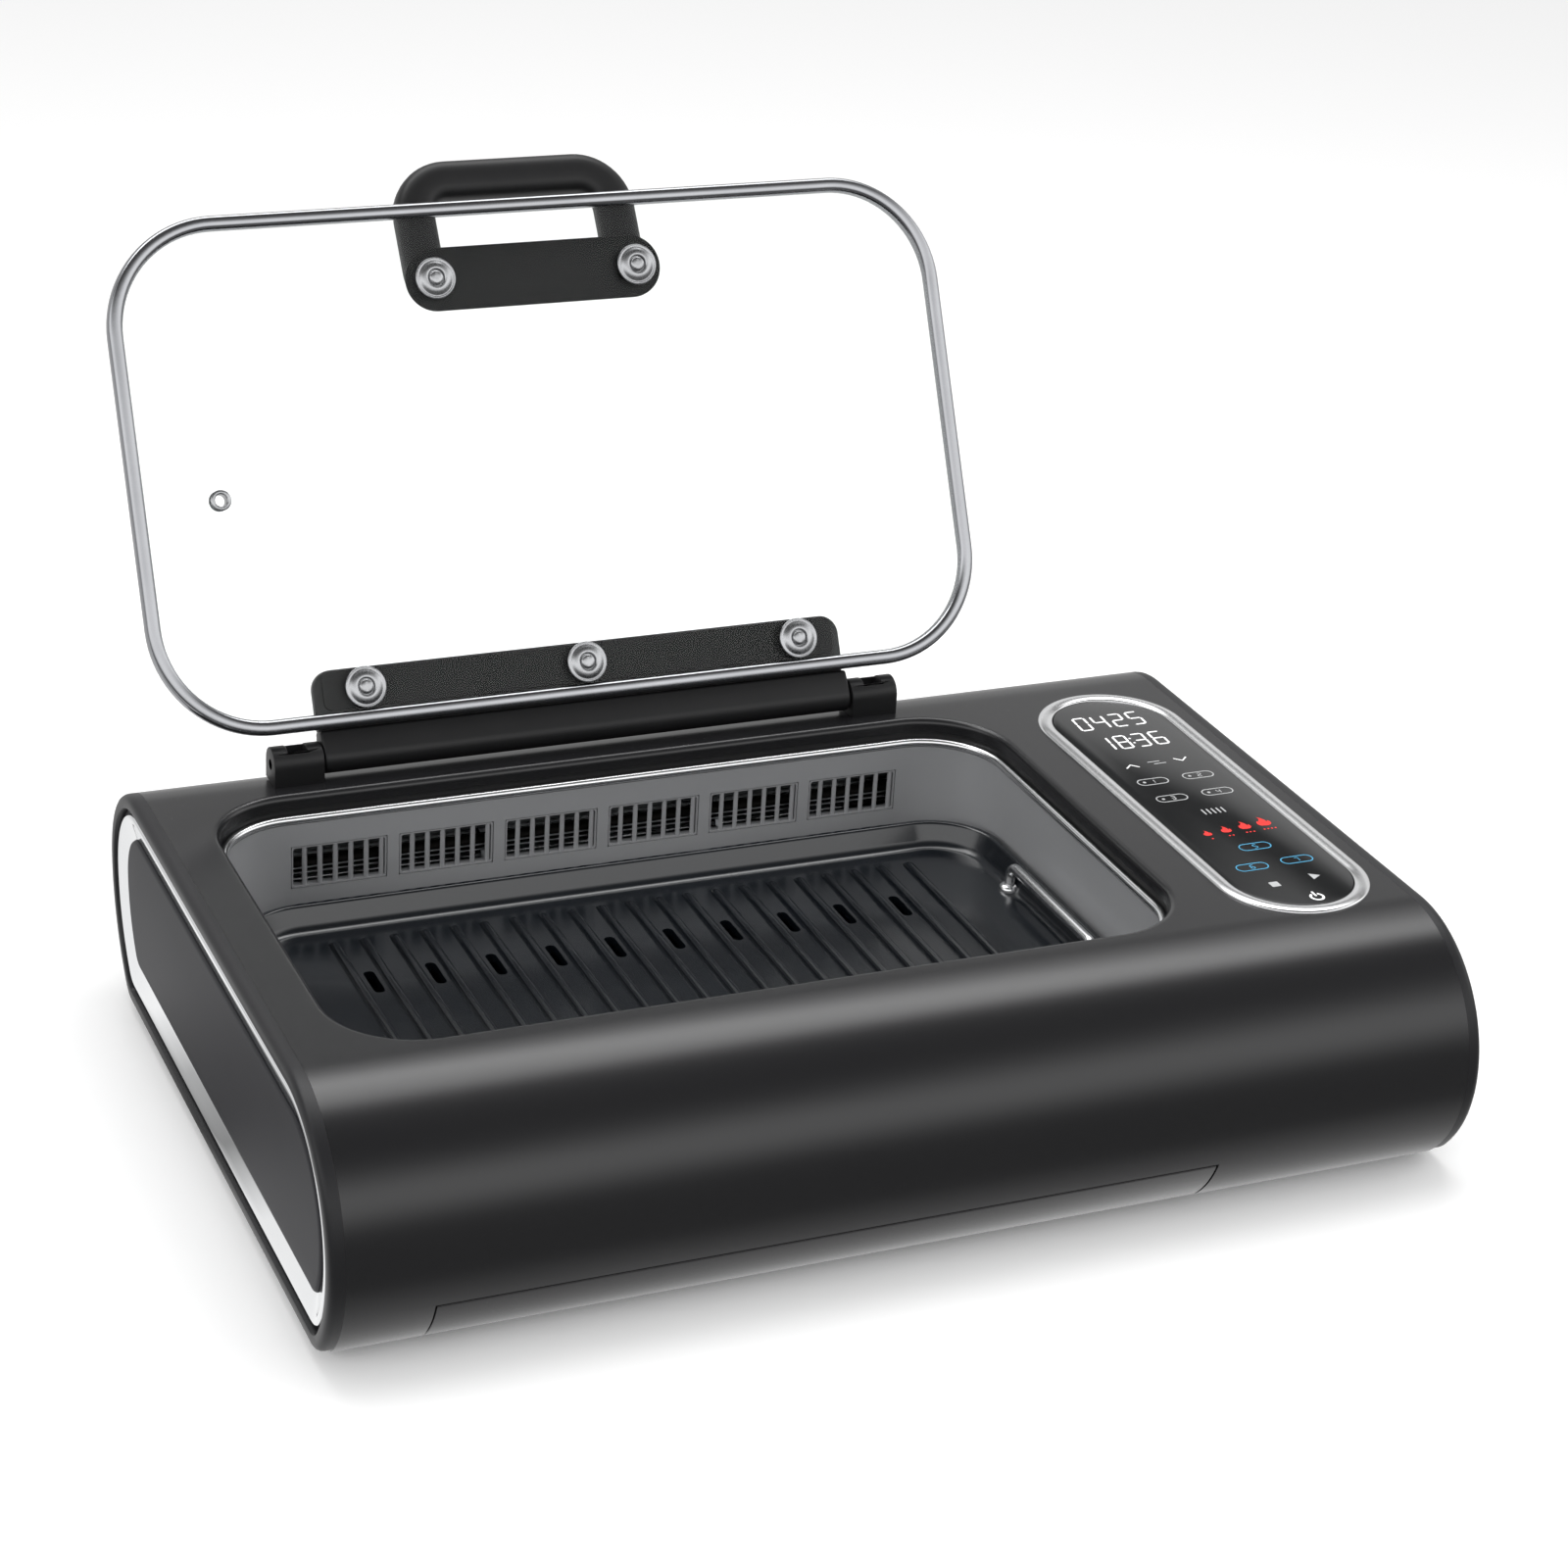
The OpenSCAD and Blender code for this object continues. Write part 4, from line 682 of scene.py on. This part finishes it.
lowTurn, highTurn = (180 + math.degrees(math.asin((frontCentre[1] - z) / casing["frontRadius"]))
                     for z in (casing["feet"], trayTop))
frontLoop = arcPoints(frontCentre, casing["frontRadius"], lowTurn, highTurn, 24)
frontLoop += arcPoints(frontCentre, casing["frontRadius"] - tray["frontThick"], highTurn, lowTurn - 1, 24)
brackets = [box(x - tray["bracketThick"] / 2, x + tray["bracketThick"] / 2, -160, -151.6, 14, 23.5)
            for x in (casing["trayX"] - tray["bracketX"], casing["trayX"] + tray["bracketX"])]
makePiece("trayFront", combine(loft([across(frontLoop, x) for x in (trayLeft, trayRight)]), *brackets),
          "satinPowderCoat", "tray_front", "drip_tray", bevel=0.4, bevelAngle=50, sharp=40)
print("drip tray made")


# Controls: a bright ring, dark touch glass, and its printed legends
controlRingSection = [(0, 110.9), (0, 111.3), (0.2, 111.7), (0.7, 112.05), (1.5, 112.35), (2.5, 112.53),
                      (3.5, 112.6), (4.5, 112.53), (5.5, 112.33), (6.4, 111.98), (6.9, 111.6), (7, 111.2),
                      (7, 108), (2.8, 108), (2.8, 110.9)]
makePiece("controlRing", loft([panelLoop(s, z) for s, z in controlRingSection], ring=True), "satinChrome",
          "control_ring", sharp=50)
glassSection = [(7.3, 109.6), (7.3, 111.4), (7.45, 111.65), (7.9, 111.8)]
makePiece("touchGlass", loft([panelLoop(s, z) for s, z in glassSection]), "touchGlass", "control_glass")

# Places are from the panel's middle
legend = {
    "bottom": 111.8, "top": 111.86,
    "readouts": (("0425", 80.5), ("1836", 57)), "readoutX": -17.5, "figureWidth": 5.8, "figureHeight": 13.5,
    "figurePitch": 9.4, "figureStroke": 1.1, "colonX": 0.15, "colon": (61.6, 66.6), "colonDot": 1.1,
    "arrows": ((1, -13.8, 38), (-1, 12.8, 39)), "arrowReach": 3.2, "arrowStroke": 0.7,
    "powerX": 1.5, "powerY": -105.5, "powerOuter": 3.4, "powerInner": 2.3,
    "pillWidth": 16, "pillHeight": 6.6, "pillStroke": 0.55, "pillFigure": (1.8, 3.2, 3, 0.45),
    "greyPills": ((-12, 20.5), (12, 21), (-12, 2), (12, 2.6)),
    "bluePills": ((0, -53.5), (-11.6, -71.5), (11.6, -70.5)),
    "flames": ((-14.6, -38, 5.2), (-4.6, -37.4, 6.4), (5.6, -36.6, 7.6), (16, -36, 8.8)),
}


def onPanel(points, z):
    return [(casing["panelX"] + x, casing["panelY"] + y, z) for x, y in points]


def printed(points):
    return loft([onPanel(points, legend["bottom"]), onPanel(points, legend["top"])])


def printedBar(start, end, width):
    a, b = Vector(start), Vector(end)
    along = (b - a).normalized() * width * 0.5
    aside = Vector((-along.y, along.x))
    return printed([tuple(p) for p in (a - along, a + aside, b + aside, b + along, b - aside, a - aside)])


digitSegments = {"0": "abcdef", "1": "bc", "2": "abged", "3": "abgcd", "4": "fgbc", "5": "afgcd", "6": "afgedc",
                 "7": "abc", "8": "abcdefg", "9": "abcdfg"}


# A number in seven-segment figures, from its lower left corner
def printedNumber(text, x, y, width, height, pitch, stroke):
    bars, gap, half, slant = [], stroke * 0.62, height / 2, 0.06
    ends = {"a": ((gap, height), (width - gap, height)), "b": ((width, height - gap), (width, half + gap)),
            "c": ((width, half - gap), (width, gap)), "d": ((width - gap, 0), (gap, 0)),
            "e": ((0, gap), (0, half - gap)), "f": ((0, half + gap), (0, height - gap)),
            "g": ((gap, half), (width - gap, half))}
    for i, figure in enumerate(text):
        for key in digitSegments[figure]:
            bars.append(printedBar(*[(x + i * pitch + px + slant * py, y + py) for px, py in ends[key]], stroke))
    return bars


def printedPill(x, y):
    width, height, stroke = legend["pillWidth"], legend["pillHeight"], legend["pillStroke"]
    outer = roundedRect(width, height, height / 2, (x, y), 8)
    inner = roundedRect(width - 2 * stroke, height - 2 * stroke, height / 2 - stroke, (x, y), 8)
    return loft([onPanel(outer, legend["bottom"]), onPanel(outer, legend["top"]), onPanel(inner, legend["top"]),
                 onPanel(inner, legend["bottom"])], ring=True)


# Two readouts with a colon, two arrows and the on-off sign
whiteParts = []
for text, y in legend["readouts"]:
    whiteParts += printedNumber(text, legend["readoutX"], y, legend["figureWidth"], legend["figureHeight"],
                                legend["figurePitch"], legend["figureStroke"])
whiteParts += [printed(roundedRect(legend["colonDot"], legend["colonDot"], 0.3, (legend["colonX"], y), 3))
               for y in legend["colon"]]
for sign, x, y in legend["arrows"]:
    whiteParts += [printedBar((x, y + sign * 1.6), (x + reach, y - sign * 1.4), legend["arrowStroke"])
                   for reach in (-legend["arrowReach"], legend["arrowReach"])]
x, y = power = legend["powerX"], legend["powerY"]
whiteParts.append(printed(arcPoints(power, legend["powerOuter"], 118, 422, 38)
                          + arcPoints(power, legend["powerInner"], 422, 118, 38)))
whiteParts.append(printedBar((x, y + 0.9), (x, y + 4.7), 1))
makePiece("whiteLegends", combine(*whiteParts), "whiteInk", "control_glass", replace=False)

# Four numbered pills, a row of bars, two short lines, a stop square and a start triangle
greyParts = []
for i, (x, y) in enumerate(legend["greyPills"]):
    greyParts += [printedPill(x, y)]
    greyParts += printedNumber(str(i + 1), x - (0.3 if i else 1.2), y - 1.6, *legend["pillFigure"])
    greyParts += [printed(roundedRect(1.6, 1.6, 0.8, (x - 4.4, y), 5))]
greyParts += [printedBar((x, -17.8), (x, -13.2), 0.8) for x in (-5, -2.5, 0, 2.5, 5)]
greyParts += [printedBar((k - 4.4, 40 - k), (k + 1.6, 40 - k), 0.6) for k in (0, 2.4)]
greyParts += [printed(roundedRect(4.4, 4.4, 0.4, (-10.5, -89.5), 3))]
greyParts += [printed([(9, -90.2), (13.6, -87.4), (9, -84.6)])]
makePiece("greyLegends", combine(*greyParts), "greyInk", "control_glass", replace=False)

# Four growing flames of three licks each, over one to four dots
flamePoints = [(0.0, 0.0), (0.26, 0.03), (0.42, 0.17), (0.45, 0.36), (0.36, 0.55), (0.33, 0.42), (0.26, 0.36),
               (0.24, 0.6), (0.12, 0.82), (-0.06, 1.0), (-0.02, 0.78), (-0.16, 0.6), (-0.24, 0.46),
               (-0.3, 0.56), (-0.41, 0.4), (-0.42, 0.2), (-0.3, 0.06)]
redParts = []
for i, (x, y, size) in enumerate(legend["flames"]):
    redParts.append(printed([(x + fx * size * 0.9, y + fy * size) for fx, fy in flamePoints]))
    redParts += [printed(roundedRect(1, 1, 0.5, (x + (k - i / 2) * 1.9, y - 3.2), 4)) for k in range(i + 1)]
makePiece("redLegends", combine(*redParts), "redInk", "control_glass", replace=False)

blueParts = []
for i, (x, y) in enumerate(legend["bluePills"]):
    blueParts += [printedPill(x, y)]
    blueParts += printedNumber(str(i + 5), x - 0.9, y - 1.6, *legend["pillFigure"])
makePiece("blueLegends", combine(*blueParts), "blueInk", "control_glass", replace=False)
print("controls made")


# Hinge and lid. Lid points are (across, up the lid from the hinge line, out of its inner face).
hinge = {"x": -40, "y": 135, "z": 119.5, "openAngle": 117, "towerOut": 141, "towerWidth": 23, "towerDepth": 16,
         "towerRound": 7.9, "slot": 9, "slotBack": (-4.6, 5), "slotHigh": (-4.7, 12), "barHalf": 129,
         "barRound": 7, "plateDeep": 33, "plateCorner": 9, "plateMiddle": 22.5}
lid = {"width": 404, "low": 12.5, "high": 246, "corner": 52, "rimLow": 0.5, "rimHigh": 7.9, "rimHalf": 3.5,
       "rimPower": 0.72, "glassFace": 5.9, "screwPitch": 106, "screwUp": 29.5, "handlePitch": 98,
       "handleUp": 211, "eyeX": -161, "eyeUp": 119}
lidTurn = math.radians(180 - hinge["openAngle"])
onLid = Matrix.Translation((hinge["x"], hinge["y"], hinge["z"])) @ Matrix.Rotation(lidTurn, 4, "X")

towerFoot = topZ - 0.6
for side, sign in (("left", -1), ("right", 1)):
    middle, half = hinge["x"] + sign * hinge["towerOut"], hinge["towerWidth"] / 2
    dome = [(hinge["y"] + hinge["towerDepth"] / 2, towerFoot)]
    dome += arcPoints((hinge["y"], hinge["z"]), hinge["towerRound"], 0, 180, 20)
    dome += [(hinge["y"] - hinge["towerDepth"] / 2, towerFoot)]
    slotCut = box(middle - hinge["slot"] / 2, middle + hinge["slot"] / 2,
                  *[hinge["y"] + y for y in hinge["slotBack"]], *[hinge["z"] + z for z in hinge["slotHigh"]])
    makePiece(side + "HingeTower", loft([across(dome, x) for x in (middle - half, middle + half)]), "phenolic",
              side + "_hinge_tower", cut=slotCut, bevel=0.9, sharp=50)

# The bar: a cover that rolls round the hinge line, and the plate that the glass is screwed to
coverSection = [(12.1, 4.3)] + arcPoints((0, 0), hinge["barRound"], 76.6, 280.9, 30) + [(12.1, -4.8)]
barPlate = stack(2 * hinge["barHalf"], hinge["plateDeep"], hinge["plateCorner"],
                 ((0.6, -4.8), (0.15, -4.5), (0, -4.1), (0, -0.5), (0.15, -0.1), (0.6, 0.2)),
                 (0, hinge["plateMiddle"]), 10)
makePiece("hingeBar", loft([across(coverSection, x) for x in (-hinge["barHalf"], hinge["barHalf"])]), "phenolic",
          "hinge_bar", "lid", bevel=1.4, bevelAngle=50, added=barPlate, place=onLid, sharp=40)

# The steel rim: folded round the glass, an upright oval in section
rimSection = [(lid["rimHalf"] - inward, (lid["rimLow"] + lid["rimHigh"]) / 2 + rise)
              for inward, rise in oval(lid["rimHalf"], (lid["rimHigh"] - lid["rimLow"]) / 2, 24, lid["rimPower"])]
makePiece("lidRim", stack(lid["width"], lid["high"] - lid["low"], lid["corner"], rimSection,
                          (0, (lid["low"] + lid["high"]) / 2), 22, ring=True),
          "polishedStainless", "lid_rim", "lid", place=onLid, sharp=60)

pads = {
    # name: CAD node, width, depth, corner, middle, corner steps, section
    "handlePad": ("handle_pad", 124, 29, 14.4, lid["handleUp"], 16,
                  ((0.5, -0.1), (0.12, 0.05), (0, 0.4), (0, 1.5), (0.12, 1.75), (0.5, 1.9))),
    "hingePad": ("hinge_pad", 250, 18, 4, 29.4, 6, ((0.3, 0.25), (0, 0.5), (0, 1.6), (0.3, 1.85))),
}
for name, (node, width, depth, corner, middle, steps, section) in pads.items():
    makePiece(name, stack(width, depth, corner, section, (0, middle), steps), "siliconePad", node, "lid",
              place=onLid)

handle = {"halfPitch": 49, "reach": 48.5, "bend": 9, "corner": 17.5, "tilt": 10, "halfWide": 9.5, "halfDeep": 8,
          "foot": 0.05, "rise": 10, "power": 2 / 2.7}
lean = math.radians(handle["tilt"])
topReach = (handle["reach"] * math.cos(lean), -handle["rise"] - handle["reach"] * math.sin(lean))
oneSide = [(0, -handle["foot"]), (0, -handle["rise"]), topReach]
handlePoints = [(-handle["halfPitch"], *point) for point in oneSide]
handlePoints += [(handle["halfPitch"], *point) for point in oneSide[::-1]]
handlePath = roundedPath(handlePoints, [handle["bend"], handle["corner"], handle["corner"], handle["bend"]], 14)
handlePart = moved(tube(handlePath, handle["halfWide"], handle["halfDeep"], (1, 0, 0), handle["power"], 32),
                   Matrix.Translation((0, lid["handleUp"], 0)))
makePiece("loopHandle", handlePart, "phenolic", "lid_handle", "lid", place=onLid, sharp=50)

# Dished washer and cross-head screw, both drawn from the glass up
washerPart = lathe([(2.2, 0), (9.3, 0), (9.5, 0.3), (9.45, 0.8), (9.1, 1.05), (8.6, 1.0), (8.2, 0.85),
                    (7.7, 1.05), (7, 1.55), (6.2, 1.9), (5.2, 2.1), (4.4, 2.15), (4, 1.95), (3.8, 1.5),
                    (3.7, 1.0), (2.2, 0.9)], 48)
screwPart = lathe([(0.01, 0.95), (3.2, 0.95), (3.4, 1.15), (3.35, 1.8), (3.0, 2.25), (2.2, 2.5), (1.1, 2.6),
                   (0.01, 2.6)], 40)
crossPart = combine(box(-2.1, 2.1, -0.55, 0.55, 1.3, 3), box(-0.55, 0.55, -2.1, 2.1, 1.3, 3))
lidSpots = [(k * lid["screwPitch"], lid["screwUp"], lid["glassFace"]) for k in (-1, 0, 1)]
lidSpots += [(k * lid["handlePitch"] / 2, lid["handleUp"], lid["glassFace"]) for k in (-1, 1)]
lidSpots = [tuple(onLid @ Vector(p)) for p in lidSpots]
turn = (lidTurn, 0.0, 0.0)
washerMesh = repeatShape("lidWashers", copiesAtSpots, washerPart, "zincPlate", lidSpots, Turn=turn)
makePiece("lidWashers", washerMesh, "zincPlate", "lid_washers", "lid", sharp=60)
screwMesh = repeatShape("lidScrews", copiesAtSpots, screwPart, "zincPlate", lidSpots, crossPart, Turn=turn)
makePiece("lidScrews", screwMesh, "zincPlate", "lid_screws", "lid", sharp=50)

# Steam eyelet through the glass: (radius, height)
eyeletSection = ((2.7, 1.2), (4.3, 1.2), (4.7, 1.5), (4.6, 1.9), (3.7, 1.9), (3.7, 5.9), (4.6, 5.9), (4.7, 6.3),
                 (4.2, 6.65), (3.3, 6.7), (2.8, 6.4), (2.7, 5.8))
eyeletPart = loft([level(circle(r, 36), w) for r, w in eyeletSection], ring=True)
makePiece("steamEyelet", moved(eyeletPart, Matrix.Translation((lid["eyeX"], lid["eyeUp"], 0))), "zincPlate",
          "steam_eyelet", "lid", place=onLid, sharp=60)
print("hinge and lid made")


# Stage, light and camera
studio = {"floorSize": 14, "floorColour": "#fafafa", "glow": 0.14, "skyForLight": 0.7, "brightest": 6}
# How bright gloss sees the floor, from the front (-0.3 m) to the back (0.5 m): dim before the grill, so the
# front's underside stays black, and in soft patches beside it, for the bright trim at the ends
floorInGloss = ((0, 0.2), (0.1, 0.2), (0.19, 1.1), (0.34, 1.0), (0.42, 0.3), (0.5, 0.5), (0.58, 1.1), (1, 0.8))
# What gloss sees by height (0 level, 1 overhead): behind the grill a pale wall, a dark gap and a bright
# ceiling panel; in front a softbox low down and darkness over it
skies = {
    "behind": ((0, 0.6), (0.36, 0.95), (0.43, 0.7), (0.48, 0.16), (0.56, 0.2), (0.64, 0.8), (0.74, 1.7),
               (0.83, 5.8), (0.9, 4.2), (1.0, 3)),
    "front": ((0, 0.25), (0.07, 0.45), (0.16, 0.95), (0.3, 1.8), (0.48, 1.9), (0.62, 0.9), (0.7, 0.35),
              (0.78, 0.14), (1.0, 0.14)),
}


# Fills a colour ramp with greys, as shares of the brightest
def setStops(ramp, stops, brightest=1):
    while len(ramp.color_ramp.elements) < len(stops):
        ramp.color_ramp.elements.new(0.5)
    for element, (spot, value) in zip(ramp.color_ramp.elements, stops):
        element.position = spot
        element.color = (value / brightest,) * 3 + (1,)
    return ramp.outputs[0]


# Two masks: what the camera sees straight or through glass, and what it sees mirrored
def sightMasks(tree):
    rays = addNode(tree, "ShaderNodeLightPath").outputs
    bounces = addNode(tree, "ShaderNodeMath", settings={"operation": "ADD", "use_clamp": True},
                      links={0: rays["Glossy Depth"], 1: rays["Diffuse Depth"]})
    straight = addNode(tree, "ShaderNodeMath", settings={"operation": "SUBTRACT"}, values={0: 1.0},
                       links={1: bounces.outputs[0]})
    through = addNode(tree, "ShaderNodeMath", settings={"operation": "MULTIPLY"},
                      links={0: rays["Is Transmission Ray"], 1: straight.outputs[0]})
    seen = addNode(tree, "ShaderNodeMath", settings={"operation": "MAXIMUM"},
                   links={0: rays["Is Camera Ray"], 1: through.outputs[0]})
    mirrored = addNode(tree, "ShaderNodeMath", settings={"operation": "MULTIPLY"},
                       links={0: rays["Is Glossy Ray"], 1: bounces.outputs[0]})
    return seen.outputs[0], mirrored.outputs[0]


floorMaterial, tree, shader = startMaterial("palePaperFloor", studio["floorColour"], 0.9,
                                            Specular_IOR_Level=0.0)
seen, mirrored = sightMasks(tree)
glowLevel = addNode(tree, "ShaderNodeMath", settings={"operation": "MULTIPLY"}, values={1: studio["glow"]},
                    links={0: seen})
glow = addNode(tree, "ShaderNodeEmission", links={"Strength": glowLevel.outputs[0]})
lit = addNode(tree, "ShaderNodeAddShader", links={0: shader.outputs[0], 1: glow.outputs[0]})
axes = addNode(tree, "ShaderNodeSeparateXYZ",
               links={0: addNode(tree, "ShaderNodeTexCoord").outputs["Object"]})
along = addNode(tree, "ShaderNodeMapRange", values={"From Min": -0.3, "From Max": 0.5},
                links={"Value": axes.outputs[1]})
ramp = addNode(tree, "ShaderNodeValToRGB", links={"Fac": along.outputs[0]})
dim = addNode(tree, "ShaderNodeEmission", links={"Color": setStops(ramp, floorInGloss)})
both = addNode(tree, "ShaderNodeMixShader", links={0: mirrored, 1: lit.outputs[0], 2: dim.outputs[0]})
tree.links.new(both.outputs[0], tree.nodes["Material Output"].inputs["Surface"])
floorMesh = bpy.data.meshes.new("floor")
reach = studio["floorSize"] / 2
floorMesh.from_pydata([(-reach, -reach, 0), (reach, -reach, 0), (reach, reach, 0), (-reach, reach, 0)], [],
                      [(0, 1, 2, 3)])
floor = makeObject("floor", floorMesh)
floor.data.materials.append(floorMaterial)

world = bpy.data.worlds.new("studio")
bpy.context.scene.world = world
world.use_nodes = True
tree = world.node_tree
tree.nodes.clear()
axes = addNode(tree, "ShaderNodeSeparateXYZ",
               links={0: addNode(tree, "ShaderNodeTexCoord").outputs["Generated"]})
ramps = {part: setStops(addNode(tree, "ShaderNodeValToRGB", links={"Fac": axes.outputs[2]}), stops,
                        studio["brightest"]) for part, stops in skies.items()}
behind = addNode(tree, "ShaderNodeMapRange", settings={"interpolation_type": "SMOOTHSTEP"},
                 values={"From Min": 0.04, "From Max": 0.24}, links={"Value": axes.outputs[1]})
skyMix = addNode(tree, "ShaderNodeMix", settings={"data_type": "RGBA"},
                 links={0: behind.outputs[0], 6: ramps["front"], 7: ramps["behind"]})
skyInGloss = addNode(tree, "ShaderNodeVectorMath", settings={"operation": "SCALE"},
                     values={"Scale": studio["brightest"]}, links={0: skyMix.outputs[2]})
seen, mirrored = sightMasks(tree)
unseen = addNode(tree, "ShaderNodeMix", settings={"data_type": "RGBA"},
                 values={6: (studio["skyForLight"],) * 3 + (1,)}, links={0: mirrored, 7: skyInGloss.outputs[0]})
sky = addNode(tree, "ShaderNodeMix", settings={"data_type": "RGBA"}, values={7: (1, 1, 1, 1)},
              links={0: seen, 6: unseen.outputs[2]})
backdrop = addNode(tree, "ShaderNodeBackground", links={"Color": sky.outputs[2]})
addNode(tree, "ShaderNodeOutputWorld", links={"Surface": backdrop.outputs[0]})

lamps = {
    # name: place, aimed at, width, depth, power
    "topSoftbox": ((0.1, 0.25, 1.7), (0, 0, 0.1), 1.5, 0.9, 14),
    "leftSoftbox": ((-1.7, -0.7, 0.9), (-0.2, 0, 0.05), 0.8, 0.8, 9),
    "rightStrip": ((1.6, -0.5, 1.0), (0.1, 0, 0.05), 0.4, 1.2, 6),
}
for name, (place, target, width, depth, power) in lamps.items():
    lamp = bpy.data.lights.new(name, "AREA")
    lamp.shape, lamp.size, lamp.size_y, lamp.energy = "RECTANGLE", width, depth, power
    holder = makeObject(name, lamp)
    holder.location = place
    holder.rotation_euler = (Vector(target) - Vector(place)).to_track_quat("-Z", "Y").to_euler()
    holder.visible_camera = holder.visible_transmission = holder.visible_glossy = False

view = {"place": (-0.5894, -1.296, 0.8121), "turn": 24.4, "down": 25.08, "roll": 3.53, "lens": 83.33}
turn, down, roll = (math.radians(view[key]) for key in ("turn", "down", "roll"))
ahead = Vector((math.sin(turn) * math.cos(down), math.cos(turn) * math.cos(down), -math.sin(down)))
levelRight = Vector((math.cos(turn), -math.sin(turn), 0))
levelUp = levelRight.cross(ahead)
right = levelRight * math.cos(roll) + levelUp * math.sin(roll)
up = levelUp * math.cos(roll) - levelRight * math.sin(roll)
lens = bpy.data.cameras.new("camera")
lens.lens, lens.sensor_width = view["lens"], 36
camera = makeObject("camera", lens)
camera.matrix_world = Matrix((
    (right.x, up.x, -ahead.x, view["place"][0]),
    (right.y, up.y, -ahead.y, view["place"][1]),
    (right.z, up.z, -ahead.z, view["place"][2]),
    (0, 0, 0, 1)))
bpy.context.scene.camera = camera
bpy.context.scene.view_settings.view_transform = "Standard"
print("stage, light and camera set")
